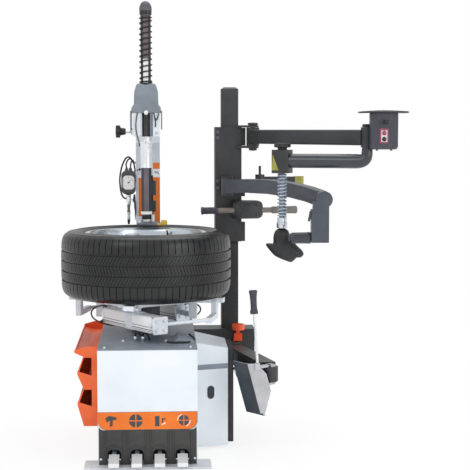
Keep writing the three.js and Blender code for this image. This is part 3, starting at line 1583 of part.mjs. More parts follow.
// Two plates with a pin that carry the upper arm.
function upperLugs(right, front) {
  const gap = UPPER_SIDE / 2 + 10 + RUN;
  const thickness = 10;
  const plate = (z0) =>
    join(
      prism(
        "z",
        [
          [right - 5, front + 5],
          [right - 30, front + 5],
          [right - 30, front - 2],
          [UPPER_X - 22, UPPER_Y - 16],
          [UPPER_X + 24, UPPER_Y],
          [UPPER_X + 12, UPPER_Y + 26],
          [right - 5, front + 56],
        ],
        z0,
        z0 + thickness,
      ),
      bar([UPPER_X, UPPER_Y, z0], [UPPER_X, UPPER_Y, z0 + thickness], 27, ROUND),
    );
  const low = UPPER_Z - gap - thickness;
  const high = UPPER_Z + gap;
  const pin = bar([UPPER_X, UPPER_Y, low - 12], [UPPER_X, UPPER_Y, high + thickness + 6], 12, ROUND);
  const nut = bar([UPPER_X, UPPER_Y, low - 10], [UPPER_X, UPPER_Y, low + 1], 21, 6);
  const cap = bar([UPPER_X, UPPER_Y, high + 5], [UPPER_X, UPPER_Y, high + thickness + 8], 18, ROUND);
  return join(plate(low), plate(high), pin, nut, cap);
}

// Lugs on the front of the carriage that carry the middle arm.
function midLugs(front) {
  const gap = MID_HEIGHT / 2 + 4 + SEAT;
  const thickness = 9;
  const reach = 27;
  const lug = (z0) =>
    join(
      box(MID_X - reach, MID_X + reach, MID_Y, front + 1, z0, z0 + thickness),
      bar([MID_X, MID_Y, z0], [MID_X, MID_Y, z0 + thickness], reach, ROUND),
    );
  const pin = bar([MID_X, MID_Y, MID_Z - gap - 14], [MID_X, MID_Y, MID_Z + gap + 14], 11, ROUND);
  return join(lug(MID_Z - gap - thickness), lug(MID_Z + gap), pin);
}

// Bracket and upright pin that carry the latch arm.
function latchLugs(right, front) {
  const low = LATCH_Z - LATCH_HEIGHT / 2 - SEAT - 8;
  const lug = prism(
    "z",
    [
      [right - 4, front + 8],
      [LATCH_X - 8, LATCH_Y - 24],
      [LATCH_X + 20, LATCH_Y - 14],
      [LATCH_X + 22, LATCH_Y + 14],
      [LATCH_X - 4, LATCH_Y + 26],
      [right - 4, front + 52],
    ],
    low,
    low + 8,
  );
  const pin = bar([LATCH_X, LATCH_Y, low + 1], [LATCH_X, LATCH_Y, 1224], 6, COARSE);
  return join(lug, pin);
}

// Latch arm with its clamp boss; the tip carries a plastic buffer.
function latchArm() {
  const z0 = LATCH_Z - LATCH_HEIGHT / 2;
  const z1 = LATCH_Z + LATCH_HEIGHT / 2;
  const boss = bar([LATCH_X, LATCH_Y, z0], [LATCH_X, LATCH_Y, z1 + 10], 22, ROUND);
  const beam = box(LATCH_X, 694, LATCH_Y - 15, LATCH_Y + 15, z0, z1);
  const tip = prism(
    "z",
    [
      [692, LATCH_Y - 17],
      [720, LATCH_Y - 17],
      [734, LATCH_Y - 6],
      [734, LATCH_Y + 8],
      [722, LATCH_Y + 17],
      [692, LATCH_Y + 17],
    ],
    z0 - 2,
    z1 + 2,
  );
  const bore = bar([LATCH_X, LATCH_Y, z0 - 1], [LATCH_X, LATCH_Y, z1 + 12], 6 + RUN, COARSE);
  return cut(join(boss, beam, tip), bore);
}

// Upper arm: square tube from the carriage to the elbow sleeve and the control bracket.
function upperArm() {
  const length = Math.hypot(ELBOW_X - UPPER_X, ELBOW_Y - UPPER_Y);
  const half = UPPER_SIDE / 2;
  const wall = 4;
  const barrelHalf = half + 10;
  const outline = rounded(-half, half, -half, half, 8, 3).map(([y, z]) => [y, z + UPPER_Z]);
  const inner = rounded(-half + wall, half - wall, -half + wall, half - wall, 4, 2).map(([y, z]) => [y, z + UPPER_Z]);
  const beam = prism("x", outline, 6, length - 4);
  const hollow = prism("x", inner, 40, length - 20);
  const drain = bar([length - 90, 0, UPPER_Z - half - 1], [length - 90, 0, UPPER_Z], 7, COARSE);
  const arm = aimed(cut(beam, hollow, drain), [UPPER_X, UPPER_Y], [ELBOW_X, ELBOW_Y]);
  const barrel = bar([UPPER_X, UPPER_Y, UPPER_Z - barrelHalf], [UPPER_X, UPPER_Y, UPPER_Z + barrelHalf], 30, FINE);
  const bore = bar([UPPER_X, UPPER_Y, UPPER_Z - 60], [UPPER_X, UPPER_Y, UPPER_Z + 60], 12 + RUN, ROUND);
  const sleeve = bar([ELBOW_X, ELBOW_Y, SLEEVE_BOTTOM], [ELBOW_X, ELBOW_Y, SLEEVE_TOP], SLEEVE_RADIUS, FINE);
  const sleeveBore = bar(
    [ELBOW_X, ELBOW_Y, SLEEVE_BOTTOM - 1],
    [ELBOW_X, ELBOW_Y, SLEEVE_TOP + 1],
    ELBOW_SHAFT_RADIUS + RUN,
    ROUND,
  );
  return cut(join(arm, barrel, sleeve, controlBracket()), bore, sleeveBore);
}

// Flat bracket between the elbow sleeve and the control box.
function controlBracket() {
  return box(ELBOW_X, PANEL_LEFT - SEAT, ELBOW_Y - 14, ELBOW_Y + 6, SLEEVE_BOTTOM + 10, SLEEVE_TOP - 4);
}

// Control box with the hand plate on top; the joystick comes through its hole.
function controlBox() {
  const outline = rounded(PANEL_LEFT, PANEL_RIGHT, PANEL_BOTTOM, PANEL_TOP, [6, 34, 6, 6], 5);
  const body = prism("y", outline, PANEL_FRONT, PANEL_BACK);
  const room = box(PANEL_LEFT + 5, PANEL_RIGHT - 5, PANEL_FRONT + 5, PANEL_BACK + 1, PANEL_BOTTOM + 36, PANEL_TOP - 5);
  const plateOutline = rounded(PANEL_LEFT - 70, PANEL_RIGHT + 38, PANEL_FRONT - 16, PANEL_BACK + 22, 24, 5);
  const plate = prism("z", plateOutline, PANEL_TOP - 1, PANEL_TOP + 8);
  const stickHole = bar(
    [STICK_X, PANEL_FRONT + 8, STICK_Z],
    [STICK_X, PANEL_FRONT - 2, STICK_Z],
    STICK_BALL_RADIUS + RUN,
    ROUND,
  );
  const rockerHole = box(
    ROCKER_X - ROCKER_HALF_X - RUN,
    ROCKER_X + ROCKER_HALF_X + RUN,
    PANEL_FRONT - 1,
    PANEL_FRONT + ROCKER_POCKET,
    ROCKER_Z - ROCKER_HALF_Z - RUN,
    ROCKER_Z + ROCKER_HALF_Z + RUN,
  );
  const nubs = [PANEL_LEFT + 8, PANEL_RIGHT - 42].map((x) =>
    bar([x + 6, ELBOW_Y - 20, PANEL_BOTTOM - 6], [x + 6, ELBOW_Y - 20, PANEL_BOTTOM + 2], 5, COARSE),
  );
  return cut(join(cut(body, room), plate, ...nubs), stickHole, rockerHole);
}

function joystick() {
  const stem = bar([STICK_X, PANEL_FRONT + 16, STICK_Z], [STICK_X, PANEL_FRONT - 22, STICK_Z], 4, COARSE);
  const ball = turned(
    [
      [0, -12],
      [7, -10],
      [11, -4],
      [11, 4],
      [7, 10],
      [0, 12],
    ],
    [STICK_X, PANEL_FRONT - 30, STICK_Z],
    [0, -1, 0],
    ROUND,
  );
  const r = STICK_BALL_RADIUS;
  const pivotBall = turned(
    [
      [0, -r],
      [r - 2.5, -r + 2],
      [r, -1],
      [r, 1],
      [r - 2.5, r - 2],
      [0, r],
    ],
    [STICK_X, PANEL_FRONT + STICK_PIVOT_IN, STICK_Z],
    [0, -1, 0],
    ROUND,
  );
  return join(stem, ball, pivotBall);
}

function rockerSwitch() {
  const y = PANEL_FRONT;
  const outline = [
    [y + 4, ROCKER_Z - ROCKER_HALF_Z],
    [y - 4, ROCKER_Z - ROCKER_HALF_Z],
    [y - 2, ROCKER_Z],
    [y - 4, ROCKER_Z + ROCKER_HALF_Z],
    [y + 4, ROCKER_Z + ROCKER_HALF_Z],
  ];
  return prism("x", outline, ROCKER_X - ROCKER_HALF_X, ROCKER_X + ROCKER_HALF_X);
}

// Second arm: round tube that bends up into the elbow, with the press socket at its end.
function secondArm() {
  const dx = PRESS_X - ELBOW_X;
  const dy = PRESS_Y - ELBOW_Y;
  const length = Math.hypot(dx, dy);
  const [ux, uy] = [dx / length, dy / length];
  const along = (d, z) => [ELBOW_X + ux * d, ELBOW_Y + uy * d, z];
  const bend = 56;
  const elbow = swept(new THREE.QuadraticBezierCurve3(
    new THREE.Vector3(...along(0, SLEEVE_BOTTOM - SEAT)),
    new THREE.Vector3(...along(0, SECOND_Z)),
    new THREE.Vector3(...along(bend, SECOND_Z)),
  ), SECOND_RADIUS - 3, 16, 8);
  const arm = bar(along(bend - 1, SECOND_Z), along(length - 30, SECOND_Z), SECOND_RADIUS, ROUND);
  const shaft = bar(along(0, SLEEVE_BOTTOM - 10), along(0, SLEEVE_TOP + 12), ELBOW_SHAFT_RADIUS, ROUND);
  const knob = bar(along(0, SLEEVE_TOP + SEAT), along(0, SLEEVE_TOP + 14), 21, 6);
  const half = 37;
  const outline = rounded(-half, half, -half, half, 8, 3);
  const socket = aimed(prism("z", outline, SOCKET_BOTTOM, SOCKET_TOP), [PRESS_X, PRESS_Y], [ELBOW_X, ELBOW_Y]);
  const bore = bar([PRESS_X, PRESS_Y, SOCKET_BOTTOM - 1], [PRESS_X, PRESS_Y, SOCKET_TOP + 1], PRESS_ROD_RADIUS + RUN, ROUND);
  return cut(join(elbow, arm, shaft, knob, socket), bore);
}

// Press rod with the knob over the socket and the hub over the press block.
function pressRod() {
  const profile = [
    [0, PRESS_HUB_BOTTOM],
    [23, PRESS_HUB_BOTTOM],
    [23, 1003],
    [20, 1003],
    [20, PRESS_HUB_TOP],
    [PRESS_ROD_RADIUS, PRESS_HUB_TOP],
    [PRESS_ROD_RADIUS, SOCKET_TOP + SEAT],
    [34, SOCKET_TOP + SEAT],
    [38, SOCKET_TOP + 8],
    [36, SOCKET_TOP + 22],
    [20, SOCKET_TOP + 28],
    [0, SOCKET_TOP + 28],
  ];
  return turned(profile, [PRESS_X, PRESS_Y, 0], [0, 0, 1], ROUND);
}

function pressSpring() {
  const wire = 2.8;
  const path = new Helix(
    PRESS_X,
    PRESS_Y,
    PRESS_HUB_TOP + SEAT + wire,
    SOCKET_BOTTOM - SEAT - wire,
    PRESS_SPRING_RADIUS,
    PRESS_TURNS,
  );
  return swept(path, wire, 4, PRESS_TURNS * 8);
}

// Press block: a domed boss that flares into two wings.
function pressBlock() {
  const top = PRESS_HUB_BOTTOM - SEAT;
  const outline = [
    [-12, 0],
    [12, 0],
    [28, -12],
    [36, -32],
    [62, -72],
    [88, -100],
    [92, -114],
    [78, -126],
    [62, -124],
    [46, -144],
    [22, -140],
    [-4, -130],
    [-30, -118],
    [-62, -78],
    [-68, -68],
    [-60, -64],
    [-38, -70],
    [-36, -32],
    [-28, -12],
  ].map(([x, z]) => [PRESS_X + x, top + z]);
  const thick = 36;
  const body = prism("y", outline, PRESS_Y - thick, PRESS_Y + thick);
  const waist = turned(
    [
      [0, top - 150],
      [96, top - 150],
      [96, top - 96],
      [40, top - 44],
      [30, top - 10],
      [14, top],
      [0, top],
    ],
    [PRESS_X, PRESS_Y, 0],
    [0, 0, 1],
    FINE,
  );
  return body.intersect(waist);
}

// Middle arm: an arched tube from the carriage to the elbow disc.
function midArm() {
  const length = Math.hypot(MID_END_X - MID_X, MID_END_Y - MID_Y);
  const half = MID_HEIGHT / 2;
  const rise = 12;
  const drop = MID_END_Z - MID_Z;
  const spine = [0, 0.25, 0.5, 0.72, 0.88, 1].map((t) => [t * length, MID_Z + drop * t ** 4 + rise * 4 * t * (1 - t)]);
  const upper = spine.map(([x, z]) => [x, z + half]);
  const lower = spine.map(([x, z]) => [x, z - half]);
  const profile = [...lower, ...upper.reverse()];
  const beam = prism("y", profile, -MID_WIDTH / 2, MID_WIDTH / 2);
  const wall = 5;
  const innerUpper = spine.slice(1, 5).map(([x, z]) => [x, z + half - wall]);
  const innerLower = spine.slice(1, 5).map(([x, z]) => [x, z - half + wall]);
  const room = prism("y", [...innerLower, ...innerUpper.reverse()], -MID_WIDTH / 2 + wall, MID_WIDTH / 2 - wall);
  const drain = bar([length / 2, 0, MID_Z - half - 20], [length / 2, 0, MID_Z], 7, COARSE);
  const arm = aimed(cut(beam, room, drain), [MID_X, MID_Y], [MID_END_X, MID_END_Y]);
  const reach = half + 4;
  const barrel = bar([MID_X, MID_Y, MID_Z - reach], [MID_X, MID_Y, MID_Z + reach], 27, FINE);
  const bore = bar([MID_X, MID_Y, MID_Z - 60], [MID_X, MID_Y, MID_Z + 60], 11 + RUN, ROUND);
  const disc = bar([MID_END_X, LEG_DISC_BACK + SEAT, MID_END_Z], [MID_END_X, MID_END_Y + 14, MID_END_Z], ELBOW_DISC_RADIUS, FINE);
  const pivot = bar([MID_END_X, LEG_FRONT + 10, MID_END_Z], [MID_END_X, MID_END_Y, MID_END_Z], 10, ROUND);
  return join(cut(join(arm, barrel), bore), disc, pivot);
}

// Leg under the elbow disc, with its latch lever and the roller's axle.
function rollerLeg() {
  const left = 689;
  const right = 761;
  const bottom = 925;
  const disc = bar([MID_END_X, LEG_FRONT, MID_END_Z], [MID_END_X, LEG_DISC_BACK, MID_END_Z], ELBOW_DISC_RADIUS, FINE);
  const front = box(left + 6, right, LEG_FRONT, LEG_DISC_BACK, bottom + 20, MID_END_Z - 6);
  const lower = box(left, right, LEG_FRONT, LEG_FRONT + 50, bottom, MID_END_Z - ELBOW_DISC_RADIUS - 6);
  const room = box(left + 5, right - 5, LEG_FRONT + 5, LEG_FRONT + 51, bottom + 5, MID_END_Z - ELBOW_DISC_RADIUS - 12);
  const lever = prism(
    "y",
    [
      [left + 2, 1058],
      [left + 2, 1040],
      [left - 8, 1012],
      [left - 14, 1014],
      [left - 6, 1056],
    ],
    LEG_FRONT + 14,
    LEG_FRONT + 32,
  );
  const axle = bar([left + 2, ROLLER_Y, ROLLER_Z], [ROLLER_LEFT + 4, ROLLER_Y, ROLLER_Z], 8, COARSE);
  const head = bar([ROLLER_LEFT - 6, ROLLER_Y, ROLLER_Z], [ROLLER_LEFT - SEAT, ROLLER_Y, ROLLER_Z], 13, COARSE);
  const stub = bar([ROLLER_LEFT - 1, ROLLER_Y, ROLLER_Z], [ROLLER_LEFT + 6, ROLLER_Y, ROLLER_Z], 8, COARSE);
  const bore = bar([MID_END_X, LEG_FRONT + 9, MID_END_Z], [MID_END_X, LEG_DISC_BACK + 1, MID_END_Z], 10 + RUN, ROUND);
  return cut(join(disc, front, cut(lower, room), lever, axle, head, stub), bore);
}

// Tapered roller on the leg's axle.
function roller() {
  const length = ROLLER_RIGHT - ROLLER_LEFT;
  const profile = [
    [8 + RUN, 0],
    [ROLLER_RADIUS - 6, 0],
    [ROLLER_RADIUS - 2, 6],
    [ROLLER_RADIUS, length - 10],
    [ROLLER_RADIUS - 3, length],
    [8 + RUN, length],
  ];
  return turned(profile, [ROLLER_LEFT, ROLLER_Y, ROLLER_Z], [1, 0, 0], ROUND);
}

// Handle bar with a clamp on the carriage's front corner.
function handleBar() {
  const z = HANDLE_Z;
  const slope = (HANDLE_RIGHT_Y - HANDLE_LEFT_Y) / (HANDLE_RIGHT - HANDLE_LEFT);
  const at = (x) => HANDLE_LEFT_Y + (x - HANDLE_LEFT) * slope;
  const point = (x) => [x, at(x), z];
  const rod = bar(point(HANDLE_LEFT), point(HANDLE_RIGHT), HANDLE_RADIUS, COARSE);
  const leftGrip = bar(point(HANDLE_LEFT), point(HANDLE_LEFT + 77), HANDLE_RADIUS + 5, ROUND);
  const rightGrip = bar(point(HANDLE_RIGHT - 122), point(HANDLE_RIGHT), HANDLE_RADIUS + 5, ROUND);
  const front = POST_Y - CARRIAGE_WIDTH / 2 - SEAT;
  const block = prism(
    "z",
    [
      [400, front],
      [408, at(408) - 20],
      [520, at(520) - 26],
      [541, at(541) - 6],
      [532, front + 30],
      [CARRIAGE_LEFT + CARRIAGE_WIDTH + SEAT, front + 36],
      [CARRIAGE_LEFT + CARRIAGE_WIDTH + SEAT, front],
    ],
    z - 39,
    z + 43,
  );
  return join(rod, leftGrip, rightGrip, block);
}

// ---------------------------------------------------------------- bead breaker

// Arm of folded sheet from its hinge to the knuckle, with the lug of the pull rod.
function beadArm() {
  const length = Math.hypot(KNUCKLE_X - BREAKER_X, KNUCKLE_Y - BREAKER_Y);
  const half = BREAKER_WIDTH / 2;
  const wall = 5;
  const beam = cut(
    box(0, length, -half, half, BREAKER_BOTTOM, BREAKER_TOP),
    box(44, length - 36, -half + wall, half - wall, BREAKER_BOTTOM - 1, BREAKER_TOP - wall),
  );
  const arm = aimed(beam, [BREAKER_X, BREAKER_Y], [KNUCKLE_X, KNUCKLE_Y]);
  const hub = bar([BREAKER_X, BREAKER_Y, BREAKER_BOTTOM], [BREAKER_X, BREAKER_Y, BREAKER_TOP], half, FINE);
  const hubBore = bar([BREAKER_X, BREAKER_Y, BREAKER_BOTTOM - 1], [BREAKER_X, BREAKER_Y, BREAKER_TOP + 1], 12 + RUN, ROUND);
  const trim = box(440, 620, KNUCKLE_Y - 90, KNUCKLE_Y - 26, BREAKER_BOTTOM - 1, BREAKER_TOP + 1);
  const knuckle = bar([KNUCKLE_X, KNUCKLE_Y, BREAKER_BOTTOM], [KNUCKLE_X, KNUCKLE_Y, BREAKER_TOP - 12], 30, FINE);
  const knuckleBore = bar([KNUCKLE_X, KNUCKLE_Y, BREAKER_BOTTOM - 1], [KNUCKLE_X, KNUCKLE_Y, BREAKER_TOP], 10 + RUN, ROUND);
  const open = box(440, 620, KNUCKLE_Y - 40, KNUCKLE_Y + 40, BREAKER_TOP - 12, BREAKER_TOP + 1);
  const y = BREAKER_ROD_Y;
  const lug = box(ROD_LUG_X - 7, ROD_LUG_X + 7, y - 46, y + 30, BREAKER_ROD_Z - 24, BREAKER_TOP - 2);
  const slot = box(ROD_LUG_X - 8, ROD_LUG_X + 8, y - 32, y + 17, BREAKER_ROD_Z - 15, BREAKER_ROD_Z + 15);
  const body = cut(join(cut(arm, trim, open), hub, knuckle), hubBore, knuckleBore);
  return join(body, cut(lug, slot));
}

// Rod of the cylinder with a round nut outside the arm's lug.
function beadRod() {
  const axisAt = (x) => [x, BREAKER_ROD_Y, BREAKER_ROD_Z];
  const start = 60;
  const nutFace = ROD_LUG_X + 7 + 10;
  const rod = bar(axisAt(start), axisAt(nutFace + 18), BREAKER_ROD_RADIUS, ROUND);
  const nut = bar(axisAt(nutFace), axisAt(nutFace + 14), 21, 16, FINE);
  return join(rod, nut);
}

// Blade: a leaning working face, a front plate and the lugs round the knuckle.
function beadBlade() {
  const plateOutline = [
    [430, 400],
    [466, 400],
    [484, 386],
    [512, 356],
    [531, 283],
    [506, 186],
    [486, 186],
  ];
  const plate = prism("y", plateOutline, BLADE_FRONT, BLADE_FRONT + BLADE_PLATE);
  const facePoints = [
    [430, BLADE_FRONT, 400],
    [438, BLADE_FRONT, 400],
    [382, BLADE_BACK, 392],
    [374, BLADE_BACK, 392],
    [500, BLADE_FRONT, 176],
    [508, BLADE_FRONT, 176],
    [442, BLADE_BACK, 168],
    [434, BLADE_BACK, 168],
  ].map((p) => new THREE.Vector3(...p));
  const lower = facePoints.slice(4);
  const upper = facePoints.slice(0, 4);
  const face = solid(hullOf([...lower, ...upper]));
  const boss = box(462, 484, BLADE_FRONT - 6, BLADE_FRONT + 14, 372, BLADE_BOSS_TOP);
  const lugUp = (z0, z1, x0, x1) =>
    join(
      prism(
        "z",
        [
          [x0, BLADE_FRONT + 1],
          [x1, BLADE_FRONT + 1],
          [KNUCKLE_X + 20, KNUCKLE_Y],
          [KNUCKLE_X - 6, KNUCKLE_Y + 20],
          [KNUCKLE_X - 20, KNUCKLE_Y + 8],
        ],
        z0,
        z1,
      ),
      bar([KNUCKLE_X, KNUCKLE_Y, z0], [KNUCKLE_X, KNUCKLE_Y, z1], 22, ROUND),
    );
  const upperZ = BREAKER_TOP - 12 + RUN;
  const lowerZ = BREAKER_BOTTOM - SEAT;
  const pin = bar([KNUCKLE_X, KNUCKLE_Y, lowerZ - 12], [KNUCKLE_X, KNUCKLE_Y, upperZ + 12], 10, ROUND);
  return join(plate, face, boss, lugUp(upperZ, upperZ + 8, 440, 486), lugUp(lowerZ - 10, lowerZ, 478, 524), pin);
}

// Rod and grip on the blade's top edge.
function bladeHandle() {
  const foot = [473, BLADE_FRONT + 4, BLADE_BOSS_TOP + 3 * SEAT];
  const shoulder = [460, BLADE_FRONT + 18, 612];
  const top = [455, BLADE_FRONT + 24, 712];
  const rod = bar(foot, [shoulder[0], shoulder[1], shoulder[2] + 10], 6, COARSE);
  const collar = bar(shoulder, [459, BLADE_FRONT + 19, 632], 17, ROUND);
  const grip = bar([459, BLADE_FRONT + 19, 630], top, 15, 16, 18);
  return join(rod, collar, grip);
}

// ---------------------------------------------------------------- assembly

function addCabinet() {
  add("base_frame", baseFrame(), GREY, 0.5, 0.4);
  add("cabinet_body", cabinetBody(), WHITE, 0.35, 0.2);
  add("top_cover", topCover(), GREY, 0.4, 0.2);
  add("pedal_cover", pedalCover(), DARK, 0.7);
  for (let i = 0; i < PEDAL_COUNT; i++) add("pedal_" + (i + 1), pedal(i), STEEL, 0.35, 0.8);
  add("side_wing", sideWing(), WHITE, 0.35, 0.2);
  add("wheel_pad", wheelPad(), BLACK, 0.85);
  add("tool_tray", toolTray(), ORANGE, 0.5);
  add("bucket_holder", bucketHolder(), ORANGE, 0.45);
}

function addDrive() {
  add("gearbox", gearbox(), GREY, 0.6, 0.5);
  add("motor", motor(), GREY, 0.5, 0.4);
  add("worm_pulley", pulley(WORM_Z, WORM_PULLEY_RADIUS, WORM_SHAFT_RADIUS, -GEARBOX_HALF_X + 43), STEEL, 0.4, 0.8);
  add("motor_pulley", pulley(MOTOR_Z, MOTOR_PULLEY_RADIUS, MOTOR_SHAFT_RADIUS, MOTOR_LEFT + 48), STEEL, 0.4, 0.8);
  add("drive_belt", driveBelt(), BLACK, 0.9);
  add("bead_cylinder", beadCylinder(), STEEL, 0.4, 0.7);
}

function addTurntable() {
  add("turntable", turntable(), WHITE, 0.4, 0.5);
  const rodJawAt = (name, degrees) => add(name, turn(rodJaw(), TABLE_ANGLE + degrees), WHITE, 0.4, 0.5);
  const saddleJawAt = (name, degrees) => add(name, turn(saddleJaw(), TABLE_ANGLE + degrees), WHITE, 0.4, 0.5);
  rodJawAt("jaw_1", 180);
  saddleJawAt("jaw_2", 180);
  rodJawAt("jaw_3", 0);
  saddleJawAt("jaw_4", 0);
  add("clamp_cylinder_1", turn(clampCylinder(), TABLE_ANGLE), STEEL, 0.3, 0.9);
  add("clamp_cylinder_2", turn(clampCylinder(), TABLE_ANGLE + 180), STEEL, 0.3, 0.9);
  add("wheel_rim", wheelRim(), 0xcfd3d6, 0.25, 0.9);
  add("tyre", tyre(), BLACK, 0.85);
}

function addColumn() {
  add("column", column(), WHITE, 0.35, 0.2);
  add("tilt_barrel", tiltBarrel(), STEEL, 0.4, 0.7);
  add("tilt_rod", tiltRod(), STEEL, 0.3, 0.9);
  add("horizontal_arm", horizontalArm(), WHITE, 0.35, 0.2);
  add("arm_cover", armCover(), 0x868a96, 0.5);
  add("hex_shaft", hexShaft(), 0x5a5d63, 0.3, 0.9);
  add("shaft_spring", shaftSpring(), 0x35373b, 0.4, 0.8);
  add("mount_head", mountHead(), 0x74777c, 0.4, 0.8);
  add("mount_insert", mountInsert(), 0xd8b02a, 0.5);
  add("star_knob", starKnob(), BLACK, 0.5);
  add("air_gauge", airGauge(), BLACK, 0.6);
  add("air_gun", airGun(), STEEL, 0.35, 0.9);
  add("gun_lever", gunLever(), 0x2b3350, 0.5);
  add("air_hose", airHose(), BLACK, 0.6);
}

function addHelpTower() {
  add("help_post", helpPost(), DARK, 0.5, 0.3);
  add("carriage", carriage(), DARK, 0.5, 0.3);
  add("upper_arm", upperArm(), DARK, 0.5, 0.3);
  add("control_box", controlBox(), DARK, 0.55);
  add("joystick", joystick(), BLACK, 0.4);
  add("rocker_switch", rockerSwitch(), BLACK, 0.4);
  add("second_arm", secondArm(), DARK, 0.45, 0.3);
  add("press_rod", pressRod(), STEEL, 0.35, 0.8);
  add("press_spring", pressSpring(), STEEL, 0.3, 0.9);
  add("press_block", pressBlock(), BLACK, 0.6);
  add("mid_arm", midArm(), DARK, 0.5, 0.3);
  add("roller_leg", rollerLeg(), DARK, 0.5, 0.3);
  add("roller", roller(), DARK, 0.6);
  add("latch_arm", latchArm(), DARK, 0.5, 0.3);
  add("handle_bar", handleBar(), 0x8b8580, 0.6);
}

function addBeadBreaker() {
  add("bead_arm", beadArm(), DARK, 0.5, 0.3);
  add("bead_rod", beadRod(), STEEL, 0.3, 0.9);
  add("bead_blade", beadBlade(), 0xb9b9be, 0.4, 0.6);
  add("blade_handle", bladeHandle(), 0x4a4650, 0.6);
}

addCabinet();
addDrive();
addTurntable();
addColumn();
addHelpTower();
addBeadBreaker();

export default root;
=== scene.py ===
import json
import math

import bmesh
import bpy
import numpy as np
from bpy.props import FloatProperty, FloatVectorProperty, IntProperty, PointerProperty
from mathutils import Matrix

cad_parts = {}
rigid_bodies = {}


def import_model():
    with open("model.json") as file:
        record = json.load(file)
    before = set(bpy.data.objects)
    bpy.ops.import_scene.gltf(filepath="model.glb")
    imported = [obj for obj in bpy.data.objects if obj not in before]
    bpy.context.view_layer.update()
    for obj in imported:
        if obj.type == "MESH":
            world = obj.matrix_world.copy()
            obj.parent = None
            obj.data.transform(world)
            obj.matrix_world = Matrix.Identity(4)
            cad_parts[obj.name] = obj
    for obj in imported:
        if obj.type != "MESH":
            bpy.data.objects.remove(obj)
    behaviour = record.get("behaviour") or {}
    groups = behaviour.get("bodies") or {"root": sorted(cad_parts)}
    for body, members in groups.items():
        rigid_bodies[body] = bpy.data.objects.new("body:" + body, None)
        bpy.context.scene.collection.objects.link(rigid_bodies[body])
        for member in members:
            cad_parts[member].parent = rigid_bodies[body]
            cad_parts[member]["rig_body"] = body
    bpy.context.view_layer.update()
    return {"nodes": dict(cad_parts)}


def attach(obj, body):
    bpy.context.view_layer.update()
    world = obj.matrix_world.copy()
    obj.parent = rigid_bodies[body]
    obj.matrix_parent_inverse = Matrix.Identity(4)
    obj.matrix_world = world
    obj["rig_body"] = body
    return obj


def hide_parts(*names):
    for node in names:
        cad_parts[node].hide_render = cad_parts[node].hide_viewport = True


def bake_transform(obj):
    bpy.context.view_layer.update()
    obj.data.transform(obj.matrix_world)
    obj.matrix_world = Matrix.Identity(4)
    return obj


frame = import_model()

bl_info = {
    "name": "Workshop tire changer",
    "version": (1, 0, 0),
    "blender": (4, 5, 0),
    "location": "3D View > Sidebar > Tire changer",
    "description": "Builds the visible pieces of a tilting-column tire changer round its solid model",
    "category": "Add Mesh",
}

# All lengths below are millimetres; piece() turns them to metres.
MM = 0.001
WHITE = (1, 1, 1, 1)
TABLE_ANGLE = -12.0  # degrees, the jaws and spokes at rest
SHAFT_Y = 250.0  # axis of the hexagon shaft
KNOB_Z = 1384  # axis of the star knob
COLUMN_FRONT = 400.0
SHEET_FRONT = -500.0  # front sheet of the cabinet
PRESS = (578.0, -330.0)  # axis of the press rod
STICK = (974, 1424)  # joystick's x and z
WHEEL_LOW, WHEEL_HIGH = 662.0, 938.0  # the rim's two edges
WHEEL_MIDDLE = 800
GROOVE = 8  # depth of the tyre's main grooves
TYRE_RADIUS = 378.0


# ---------------------------------------------------------------- shapes

def unit(v):
    """The vector, or each row of vectors, at length one."""
    v = np.asarray(v, float)
    return v / np.linalg.norm(v, axis=-1, keepdims=True)


def arc(u, v, radius, count, start=0.0, sweep=360.0):
    """Points on a circle: centre plus radius times cosine and sine of an evenly spaced angle."""
    steps = np.arange(count) / (count if sweep == 360.0 else count - 1)
    angle = np.radians(start + sweep * steps)
    return np.column_stack([u + radius * np.cos(angle), v + radius * np.sin(angle)])


def rounded(u0, u1, v0, v1, radius, count=5):
    """A rectangle whose corners are quarter circles; one radius, or four from low u and v round."""
    radii = np.broadcast_to(radius, 4)
    corners = ((u0, v0, 1, 1, 180), (u1, v0, -1, 1, 270), (u1, v1, -1, -1, 0), (u0, v1, 1, -1, 90))
    parts = [arc(u + du * r, v + dv * r, r, count, start, 90.0) if r else np.array([[u, v]], float)
             for (u, v, du, dv, start), r in zip(corners, radii)]
    return np.vstack(parts)


def curve(points, count):
    """A Catmull-Rom curve through the points, at evenly spaced parameters."""
    p = np.asarray(points, float)
    p = np.vstack([2 * p[0] - p[1], p, 2 * p[-1] - p[-2]])
    t = np.linspace(0, len(p) - 3 - 1e-9, count)
    i = t.astype(int)
    f = (t - i)[:, None]
    a, b, c, d = p[i], p[i + 1], p[i + 2], p[i + 3]
    return 0.5 * (2 * b + (c - a) * f + (2 * a - 5 * b + 4 * c - d) * f ** 2 + (3 * b - a - 3 * c + d) * f ** 3)


def skin(rings, caps=True, wrap=False):
    """Quads between neighbouring closed rings of points; end rings are filled, or the last meets the first."""
    rings = np.asarray(rings, float)
    m, n = rings.shape[:2]
    i = np.arange(m if wrap else m - 1)[:, None]
    j = np.arange(n)
    k = (j + 1) % n
    low, high = i * n, ((i + 1) % m) * n
    faces = np.stack([low + j, low + k, high + k, high + j], -1).reshape(-1, 4).tolist()
    if caps and not wrap:
        faces += [list(range(n))[::-1], list(range((m - 1) * n, m * n))]
    return rings.reshape(-1, 3), faces


def lathe(profile, origin=(0, 0, 0), direction=(0, 0, 1), sides=48, closed=False):
    """A profile of radius and height turned about a line: origin + height along it + radius across it."""
    d = unit(direction)
    side = unit(np.cross(d, (0, 1, 0) if abs(d[1]) < 0.9 else (1, 0, 0)))
    up = np.cross(d, side)
    angle = 2 * math.pi * np.arange(sides) / sides
    across = np.cos(angle)[:, None] * side + np.sin(angle)[:, None] * up
    p = np.asarray(profile, float)
    rings = np.asarray(origin, float) + p[:, 1, None, None] * d + p[:, 0, None, None] * across
    return skin(rings, caps=False, wrap=closed)


